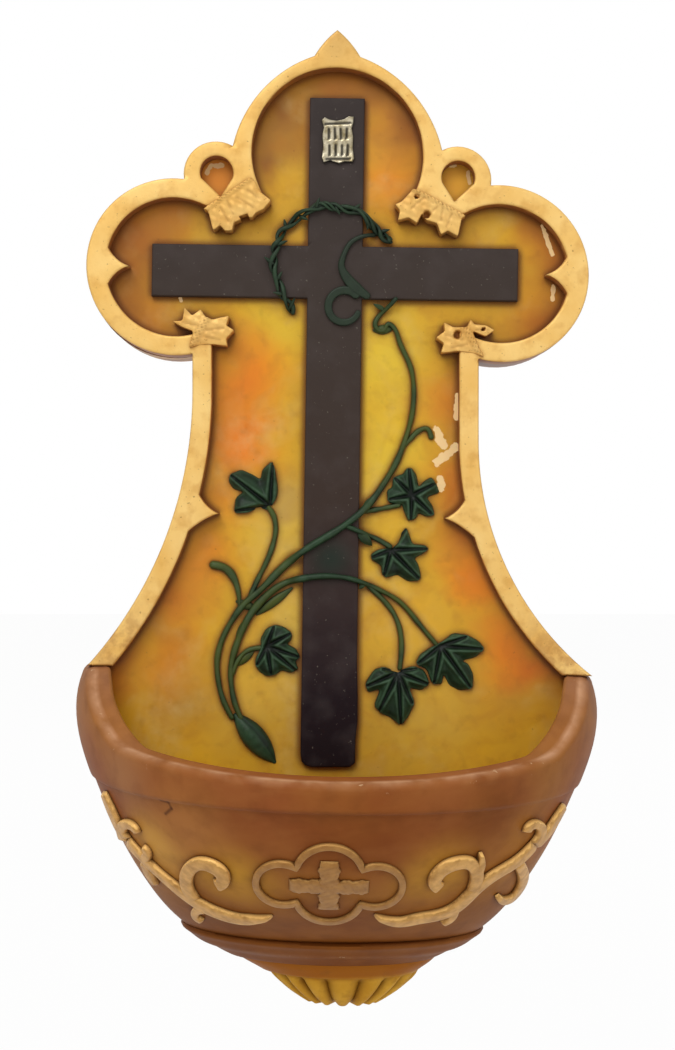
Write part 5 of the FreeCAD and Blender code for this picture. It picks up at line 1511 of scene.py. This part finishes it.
def makeBowl():
    # closed shell: up the outside, over the rounded rim and down the inside, for each angle
    # theta from the left end of the half round to the right end
    theta = np.linspace(0, math.pi, bowl["columns"])
    outerRim, innerRim = rimHeight(theta, 0.0), rimHeight(theta, bowl["wall"])
    rows, inside, rub, crest = [], [], [], []
    step, base = bowl["lip"][-1][0], bowl["body"][-1][0]      # where lip and body meet, and the foot

    def ring(z, sections, inset, amber=0.0, wearAndHighlight=0.0, scale=1.0, highlightShare=0.0):
        z = np.broadcast_to(z, theta.shape)
        width = (profileAt(sections, z, 1) - inset) * scale
        depth = (profileAt(sections, z, 2) - inset) * scale
        rows.append(np.stack([-width * np.cos(theta), -depth * np.sin(theta), z], -1))
        inside.append(np.full(len(theta), amber))
        rub.append(np.full(len(theta), wearAndHighlight))
        crest.append(np.full(len(theta), highlightShare))

    for scale in (1e-5, 0.35, 0.7, 0.97):
        ring(base, bowl["body"], 0.0, scale=scale)
    for z in np.concatenate([np.linspace(base + 0.1, step - 1.1, 30), [step - 0.6, step - 0.3]]):
        ring(z, bowl["body"], 0.25)
    for rise, inset in ((-0.15, 0.75), (0.1, 0.30), (0.4, 0.06)):      # rounded lower edge of the lip
        ring(step + rise, bowl["lip"], inset)
    lipFoot = step + 0.5
    # the rings of the lip from here on carry the painted highlight along its top and rounded outer edge
    for share in np.linspace(0.03, 1.0, 12):
        level = lipFoot + (outerRim - bowl["outerRound"] - lipFoot) * share
        ring(level, bowl["lip"], 0.0, wearAndHighlight=0.25 if share > 0.9 else 0.0)
    for angle in np.radians((18, 36, 54, 72, 90)):           # rounded outer edge
        lift, draw = math.sin(angle), 1 - math.cos(angle)
        ring(outerRim - bowl["outerRound"] * (1 - lift), bowl["lip"], bowl["outerRound"] * draw, wearAndHighlight=1.0,
             highlightShare=lift * draw * 3)
    for share in (0.35, 0.7, 1.0):                            # the sloping top of the rim
        level = outerRim + (innerRim - outerRim) * share
        across = bowl["wall"] - bowl["innerRound"] - bowl["outerRound"]
        ring(level, bowl["lip"], bowl["outerRound"] + across * share, wearAndHighlight=0.45 * (1 - share))
    for angle in np.radians((22, 45, 68, 90)):                # rounded inner edge
        lift, draw = 1 - math.cos(angle), math.sin(angle)
        inset = bowl["wall"] - bowl["innerRound"] * (1 - draw)
        ring(innerRim - bowl["innerRound"] * lift, bowl["lip"], inset, amber=draw * 0.5)
    innerTop = innerRim - bowl["innerRound"]
    for share in np.linspace(0.08, 1.0, 12):
        level = innerTop + (step + 0.8 - innerTop) * share
        ring(level, bowl["lip"], bowl["wall"], amber=min(1.0, 0.5 + share * 0.8))
    for z in np.linspace(step - 1.7, bowl["floor"] + 1.6, 22):
        ring(z, bowl["body"], bowl["wall"], amber=1.0)
    ring(bowl["floor"] + 0.5, bowl["body"], bowl["wall"] + 0.6, amber=1.0)
    for scale in (0.95, 0.7, 0.35, 1e-5):
        ring(bowl["floor"], bowl["body"], bowl["wall"] + 1.0, amber=1.0, scale=scale)
    grid = np.array(rows)
    wobble = 0.18 * np.sin(grid[..., 0] * 0.11 + 0.7) * np.sin(grid[..., 2] * 0.16) * np.sin(theta)[None]
    grid[..., 1] += wobble
    count, columns = grid.shape[:2]
    quads = gridQuads(count, columns).tolist()
    half = count // 2
    for k in range(half):                                     # the cut faces against the wall
        low, high = k, count - 1 - k
        if high - low < 2:
            break
        face = [low * columns, (low + 1) * columns, (high - 1) * columns, high * columns]
        quads.append(face)
        quads.append([corner + columns - 1 for corner in reversed(face)])
    grid = turnedWithBowl(grid)
    values = {"inside": np.array(inside), "rub": np.array(rub), "crest": np.array(crest)}
    piece = meshPiece("stoupBowl", [(grid, quads)], values)
    sharpen(piece, 60)
    return dress(piece, brownResin, ["stoup_bowl"])


makeBowl()


def halfRound(sections, columns, shift=0.0, ripple=None):
    # closed half-round moulding: half ovals at each height, with caps and a flat back
    theta = np.linspace(0, math.pi, columns)
    rows = []
    for index, (z, width, depth) in enumerate(sections):
        pull = ripple(index / (len(sections) - 1)) if ripple else 0.0
        rows.append(np.stack([shift - (width - pull) * np.cos(theta), -(depth - pull) * np.sin(theta),
                              np.full(columns, float(z))], -1))
    caps = []
    for row in (rows[0], rows[-1]):
        middle = np.array([shift, 0.0, row[0, 2]])
        caps.append([middle + (row - middle) * share for share in (1e-5, 0.5)])
    grid = np.array(caps[0] + rows + caps[1][::-1])
    return grid, gridQuads(len(grid), columns, loopColumns=True)


moulding = {
    # height, half width and depth
    "sections": (
        (-147.7, 31.9, 20.5), (-148.2, 32.1, 20.9), (-149.4, 31.0, 19.8), (-150.8, 29.2, 18.1),
        (-151.5, 28.0, 17.1), (-152.3, 26.0, 15.4), (-153.4, 24.0, 13.8), (-154.2, 22.4, 12.6)),
    "highlightEdge": -151.3,
}


def makeRing():
    # a half-round moulding turned with the bowl; its lower edge carries a painted highlight
    grid, quads = halfRound(throughSpots(moulding["sections"], 22), 121)
    lift = np.exp(-((grid[..., 2] - moulding["highlightEdge"]) / 0.35) ** 2).ravel()
    grid = turnedWithBowl(grid)
    piece = meshPiece("ringMoulding", [(grid, quads)], {"inside": np.zeros(len(lift)), "rub": lift * 0.8})
    sharpen(piece, 60)
    return dress(piece, brownResin, ["base_ring"])


makeRing()

pendant = {
    "centres": (0.6, 1.6, 2.5),      # of the collar's top, its foot and the fluted part
    "collar": ((-153.6, 22.2, 12.8), (-155.0, 20.6, 12.2), (-156.4, 18.4, 11.3), (-157.4, 16.8, 10.6)),
    "fluted": (
        (-157.0, 16.2, 10.4), (-158.2, 15.6, 10.0), (-160.0, 13.9, 9.4), (-161.8, 11.8, 8.4),
        (-163.2, 9.8, 7.2), (-164.3, 8.0, 5.8)),
    # degrees, where one rib ends and the next begins
    "ribs": (0.0, 18.0, 36.0, 54.0, 76.0, 104.0, 126.0, 144.0, 162.0, 180.0),
    "depth": 1.6,
}


def ribShape(theta):
    # 0 over the back of a rib, 1 in the groove beside it
    edges = np.radians(pendant["ribs"])
    index = np.clip(np.searchsorted(edges, theta, side="right") - 1, 0, len(edges) - 2)
    across = 2 * (theta - edges[index]) / (edges[index + 1] - edges[index]) - 1
    return np.abs(across) ** 2.4


def makePendant():
    # a plain collar, and ribs parted by grooves that run out in scallops
    columns = 361
    theta = np.linspace(0, math.pi, columns)
    shape = ribShape(theta)
    collar, collarQuads = halfRound(throughSpots(pendant["collar"], 20), columns, pendant["centres"][1])
    lean = (collar[..., 2] - pendant["collar"][-1][0]) / (pendant["collar"][0][0] - pendant["collar"][-1][0])
    collar[..., 0] += (pendant["centres"][0] - pendant["centres"][1]) * lean

    def flutes(share):
        return pendant["depth"] * min(1.0, share / 0.15) * shape

    sections = throughSpots(pendant["fluted"], 40)
    fluted, flutedQuads = halfRound(sections, columns, pendant["centres"][2], flutes)
    share = np.concatenate([[0, 0], np.linspace(0, 1, 40), [1, 1]])
    fluted[..., 2] += 1.1 * (np.clip((share - 0.6) / 0.4, 0, 1) ** 2)[:, None] * shape[None]
    # painted shade in the grooves of the flutes
    groove = np.minimum(1, share / 0.12)[:, None] * shape[None] ** 1.2
    groove = np.concatenate([np.zeros(collar.shape[:2]).ravel(), groove.ravel()])
    groups = [(turnedWithBowl(collar), collarQuads), (turnedWithBowl(fluted), flutedQuads)]
    piece = meshPiece("flutedPendant", groups, {"groove": groove})
    sharpen(piece, 60)
    return dress(piece, ochreResin, ["fluted_pendant"])


makePendant()

print("stage: relief on the bowl")

relief = {
    "medallion": ((-0.8, -131.9), (14.6, 9.7), 1.35),       # centre, half sizes, width of the band
    "medallionCross": ((3.8, 11.6), (15.2, 3.0)),
    "height": 1.2,
    # ribbons of each scroll: its spots on the front and its widths along the way
    "scroll_left": (
        (((-11.7, -140.2), (-15.0, -141.2), (-18.3, -141.6), (-21.7, -141.0), (-25.0, -139.8),
          (-30.7, -136.1), (-35.9, -132.0), (-41.5, -127.3)), (0.6, 2.4, 2.6, 2.6, 2.4, 1.8, 1.9, 2.4)),
        (((-27.0, -138.4), (-28.3, -136.0), (-28.6, -133.3), (-27.6, -130.4), (-25.5, -128.7),
          (-23.0, -128.9), (-21.2, -130.4), (-21.2, -132.5), (-22.7, -133.5)),
         (2.2, 2.6, 2.8, 2.7, 2.7, 2.6)),
        (((-42.1, -128.2), (-42.4, -125.7), (-41.0, -123.5), (-39.2, -123.5), (-38.1, -124.7)),
         (2.4, 2.4, 2.2, 1.8, 0.8)),
        (((-37.7, -131.0), (-36.6, -128.7), (-37.3, -127.3)), (2.2, 1.8, 0.6)),
        (((-37.6, -131.4), (-36.8, -134.2), (-35.4, -137.0)), (2.0, 2.2, 0.8)),
        (((-25.1, -140.2), (-27.1, -141.2), (-27.4, -143.0), (-25.9, -144.0)), (2.0, 1.8, 0.8)),
        (((-41.3, -127.4), (-42.9, -125.1), (-44.1, -122.6), (-45.2, -120.1), (-46.1, -117.9)),
         (2.4, 2.2, 2.0, 1.2))),
    "scroll_right": (
        (((8.1, -139.0), (10.9, -140.4), (13.6, -140.9), (16.5, -140.3), (20.6, -139.7), (24.1, -138.1),
          (27.4, -134.3), (31.6, -130.9), (36.4, -128.4), (39.6, -125.4)),
         (0.6, 2.0, 2.4, 2.4, 2.5, 2.6, 2.4, 2.3, 2.4, 2.2)),
        (((27.1, -134.4), (27.6, -131.6), (27.2, -129.1), (25.7, -127.3), (23.4, -127.0), (21.1, -127.8),
          (19.5, -129.6), (19.3, -131.5), (20.6, -132.8)), (2.4, 2.7, 2.6, 2.7, 2.6, 2.5)),
        (((27.4, -130.3), (28.0, -128.0), (27.9, -125.3)), (2.2, 1.8, 0.6)),
        (((39.4, -125.8), (40.6, -123.2), (39.6, -121.2), (37.8, -121.0), (37.0, -122.4)),
         (2.4, 2.0, 1.9, 1.8, 1.4)),
        (((36.2, -129.2), (38.0, -133.0), (38.2, -136.6), (36.6, -139.1), (34.3, -138.8), (32.8, -136.9)),
         (2.2, 2.3, 2.2, 2.2, 2.0, 1.0)),
        (((23.8, -138.3), (23.2, -141.1), (21.6, -142.3)), (2.4, 1.8, 0.8)),
        (((39.4, -126.0), (42.4, -123.5), (44.1, -121.0), (45.8, -118.4)), (2.4, 2.2, 2.0, 1.2))),
}


def bodyDepth(x, z):
    # depth of the outside of the body at a spot of its front: -D sqrt(1 - (x / W)^2)
    width, depth = profileAt(bowl["body"], z, 1), profileAt(bowl["body"], z, 2)
    return -depth * np.sqrt(np.clip(1 - (x / width) ** 2, 0.0004, 1))


def bodyNormal(x, z):
    # unit normal of the body, from the slopes of its depth
    step = 0.2
    slopeX = (bodyDepth(x + step, z) - bodyDepth(x - step, z)) / (2 * step)
    slopeZ = (bodyDepth(x, z + step) - bodyDepth(x, z - step)) / (2 * step)
    normal = np.stack([slopeX, -np.ones_like(slopeX), slopeZ], -1)
    return normal / np.linalg.norm(normal, axis=-1)[..., None]


def bodyRibbon(flat, widths, height, closed=False):
    # a band laid on the body: across it the height is a flattened arch with a dished top,
    # and its underside is sunk in the wall
    along = (np.roll(flat, -1, 0) - np.roll(flat, 1, 0)) if closed else np.gradient(flat, axis=0)
    along /= np.linalg.norm(along, axis=1)[:, None]
    across = np.stack([-along[:, 1], along[:, 0]], -1)
    sides = 20
    turn = np.linspace(0, 2 * math.pi, sides, endpoint=False)
    side, lift = np.cos(turn), np.sin(turn)
    side = np.sign(side) * np.abs(side) ** 0.75
    rise = np.where(lift > 0, height * np.abs(lift) ** 0.6 * (0.84 + 0.16 * side ** 2),
                    -0.5 * np.abs(lift) ** 0.8)
    spots = flat[:, None] + across[:, None] * (side[None, :, None] * widths[:, None, None] / 2)
    x, z = spots[..., 0], spots[..., 1]
    base = np.stack([x, bodyDepth(x, z), z], -1)
    taper = np.ones(len(flat))
    if not closed:
        ends = np.minimum(np.arange(len(flat)), np.arange(len(flat))[::-1])
        taper = np.clip((ends + 0.01) / 3, 0, 1) ** 0.5
    points = base + bodyNormal(x, z) * rise[None, :, None] * taper[:, None, None]
    quads = gridQuads(len(flat), sides, loopRows=closed, loopColumns=True).tolist()
    if not closed:
        quads.append(list(range(sides)))
        quads.append([(len(flat) - 1) * sides + k for k in reversed(range(sides))])
    return turnedWithBowl(points).reshape(-1, 3), quads


def makeScroll(name):
    # one ribbon along each run of spots
    groups = []
    for spots, widths in relief[name]:
        count = max(24, len(spots) * 9)
        groups.append(bodyRibbon(throughSpots(spots, count), alongShares(widths, count), relief["height"]))
    whole = np.ones(sum(len(points) for points, _ in groups))
    piece = meshPiece(name.replace("scroll_", "scroll."), groups, {"gilt": whole})
    return dress(piece, antiqueGold, [name])


def makeMedallion():
    # a closed band along four arcs, and a cross of two ribbons with wavering edges
    (x, z), (halfX, halfZ), band = relief["medallion"]
    cornerX, cornerZ = halfX * 0.46, halfZ * 0.47
    loop = np.concatenate([
        arcThrough((x - cornerX, z + cornerZ), (x, z + halfZ), (x + cornerX, z + cornerZ), 30),
        arcThrough((x + cornerX, z + cornerZ), (x + halfX, z), (x + cornerX, z - cornerZ), 30),
        arcThrough((x + cornerX, z - cornerZ), (x, z - halfZ), (x - cornerX, z - cornerZ), 30),
        arcThrough((x - cornerX, z - cornerZ), (x - halfX, z), (x - cornerX, z + cornerZ), 30)])
    middle = loop + (np.array([x, z]) - loop) * (band / 2 / np.linalg.norm(loop - [x, z], axis=1))[:, None]
    points, quads = bodyRibbon(middle, np.full(len(middle), band), relief["height"] * 0.6, closed=True)
    piece = meshPiece("medallionBorder", [(points, quads)], {"gilt": np.full(len(points), 0.30)})
    dress(piece, antiqueGold, ["medallion_border"])
    groups, grooves = [], []
    for index, (width, height) in enumerate(relief["medallionCross"]):
        upright = index == 0
        reach = (height if upright else width) / 2
        line = np.linspace(-reach, reach, 40)
        still = np.zeros(40)
        flat = np.stack([x + still, z + line] if upright else [x + line, z + still], -1)
        waver = 1 + 0.10 * np.sin(line * 2.1 + index) + 0.06 * np.sin(line * 5.3)
        broad = (width if upright else height) * waver
        points, quads = bodyRibbon(flat, broad, relief["height"] * 0.6)
        groups.append((points, quads))
        x0, z0 = points[:, 0], points[:, 2]
        scratch = np.sin(x0 * 2.7 + z0 * 1.9) * np.sin(x0 * 1.1 - z0 * 3.1)
        grooves.append(np.abs(scratch) ** 3 * 0.5)
    scratches = np.concatenate(grooves)
    piece = meshPiece("medallionCross", groups, {"groove": scratches, "gilt": np.full(len(scratches), 0.30)})
    dress(piece, antiqueGold, ["medallion_cross"])


makeScroll("scroll_left")
makeScroll("scroll_right")
makeMedallion()

print("stage: floor, light and camera")

# places in metres; each lamp: power in watts, place and size
studio = {
    "floor": -0.235,
    "floorReach": 3.0,
    "floorColour": "#DDDBD7",
    "floorWhite": 0.965,      # share of white where the camera looks at it
    "world": 0.49,
    "key": (6.6, (-0.30, -0.80, 0.70), 0.7),
    "fill": (1.8, (0.75, -0.8, 0.1), 0.8),
    "back": (2.6, (0.2, 0.9, 0.5), 0.9),
    "aim": (0, -0.02, -0.06),      # what the lamps point at
    "camera": (0.0, -0.3725, -0.06355),
    "lens": 60.04,
}


def whiteForCamera(tree, shaderSocket, share):
    # white where the camera, a gloss ray or a ray through glass looks, the shader elsewhere
    path = addNode(tree, "ShaderNodeLightPath")
    seen = addNode(tree, "ShaderNodeMath", {"operation": "MAXIMUM"},
                   {0: path.outputs["Is Camera Ray"], 1: path.outputs["Is Glossy Ray"]})
    seen = addNode(tree, "ShaderNodeMath", {"operation": "MAXIMUM"},
                   {0: seen.outputs[0], 1: path.outputs["Is Transmission Ray"]})
    white = addNode(tree, "ShaderNodeEmission", None, {"Color": (1, 1, 1, 1), "Strength": 1.0})
    return addNode(tree, "ShaderNodeMixShader", None,
                   {0: overlap(tree, seen.outputs[0], share), 1: shaderSocket, 2: white.outputs[0]})


def makeStudio():
    # a floor and a world that are white where the camera looks, three lamps and the camera
    floorMaterial = bpy.data.materials.new("pale studio paper")
    floorMaterial.use_nodes = True
    tree = floorMaterial.node_tree
    shader = tree.nodes["Principled BSDF"]
    shader.inputs["Base Color"].default_value = linearColour(studio["floorColour"])
    shader.inputs["Roughness"].default_value = 0.9
    mixed = whiteForCamera(tree, shader.outputs[0], studio["floorWhite"])
    tree.links.new(mixed.outputs[0], tree.nodes["Material Output"].inputs["Surface"])
    mesh = bpy.data.meshes.new("studioFloor")
    reach, level = studio["floorReach"], studio["floor"]
    corners = [(x * reach, y * reach, level) for x, y in ((-1, -1), (1, -1), (1, 1), (-1, 1))]
    mesh.from_pydata(corners, [], [(0, 1, 2, 3)])
    mesh.materials.append(floorMaterial)
    floor = bpy.data.objects.new("studioFloor", mesh)
    bpy.context.scene.collection.objects.link(floor)
    world = bpy.data.worlds.new("softRoom")
    bpy.context.scene.world = world
    world.use_nodes = True
    tree = world.node_tree
    path = addNode(tree, "ShaderNodeLightPath")
    seen = addNode(tree, "ShaderNodeMath", {"operation": "MAXIMUM"},
                   {0: path.outputs["Is Camera Ray"], 1: path.outputs["Is Transmission Ray"]})
    strength = addNode(tree, "ShaderNodeMapRange", None,
                       {"Value": seen.outputs[0], "To Min": studio["world"], "To Max": 1.0})
    background = tree.nodes["Background"]
    background.inputs["Color"].default_value = (1, 1, 1, 1)
    tree.links.new(strength.outputs["Result"], background.inputs["Strength"])
    for name in ("key", "fill", "back"):
        power, place, size = studio[name]
        lamp = bpy.data.lights.new(name, "AREA")
        lamp.energy = power
        lamp.size = size
        light = bpy.data.objects.new(name, lamp)
        light.location = place
        beam = Vector(studio["aim"]) - Vector(place)
        light.rotation_euler = beam.to_track_quat("-Z", "Y").to_euler()
        bpy.context.scene.collection.objects.link(light)
    lens = bpy.data.cameras.new("frontCamera")
    lens.lens = studio["lens"]
    lens.sensor_width = 36.0
    camera = bpy.data.objects.new("frontCamera", lens)
    camera.location = studio["camera"]
    camera.rotation_euler = (math.radians(90), 0, 0)
    bpy.context.scene.collection.objects.link(camera)
    bpy.context.scene.camera = camera
    bpy.context.scene.view_settings.view_transform = "Standard"


makeStudio()
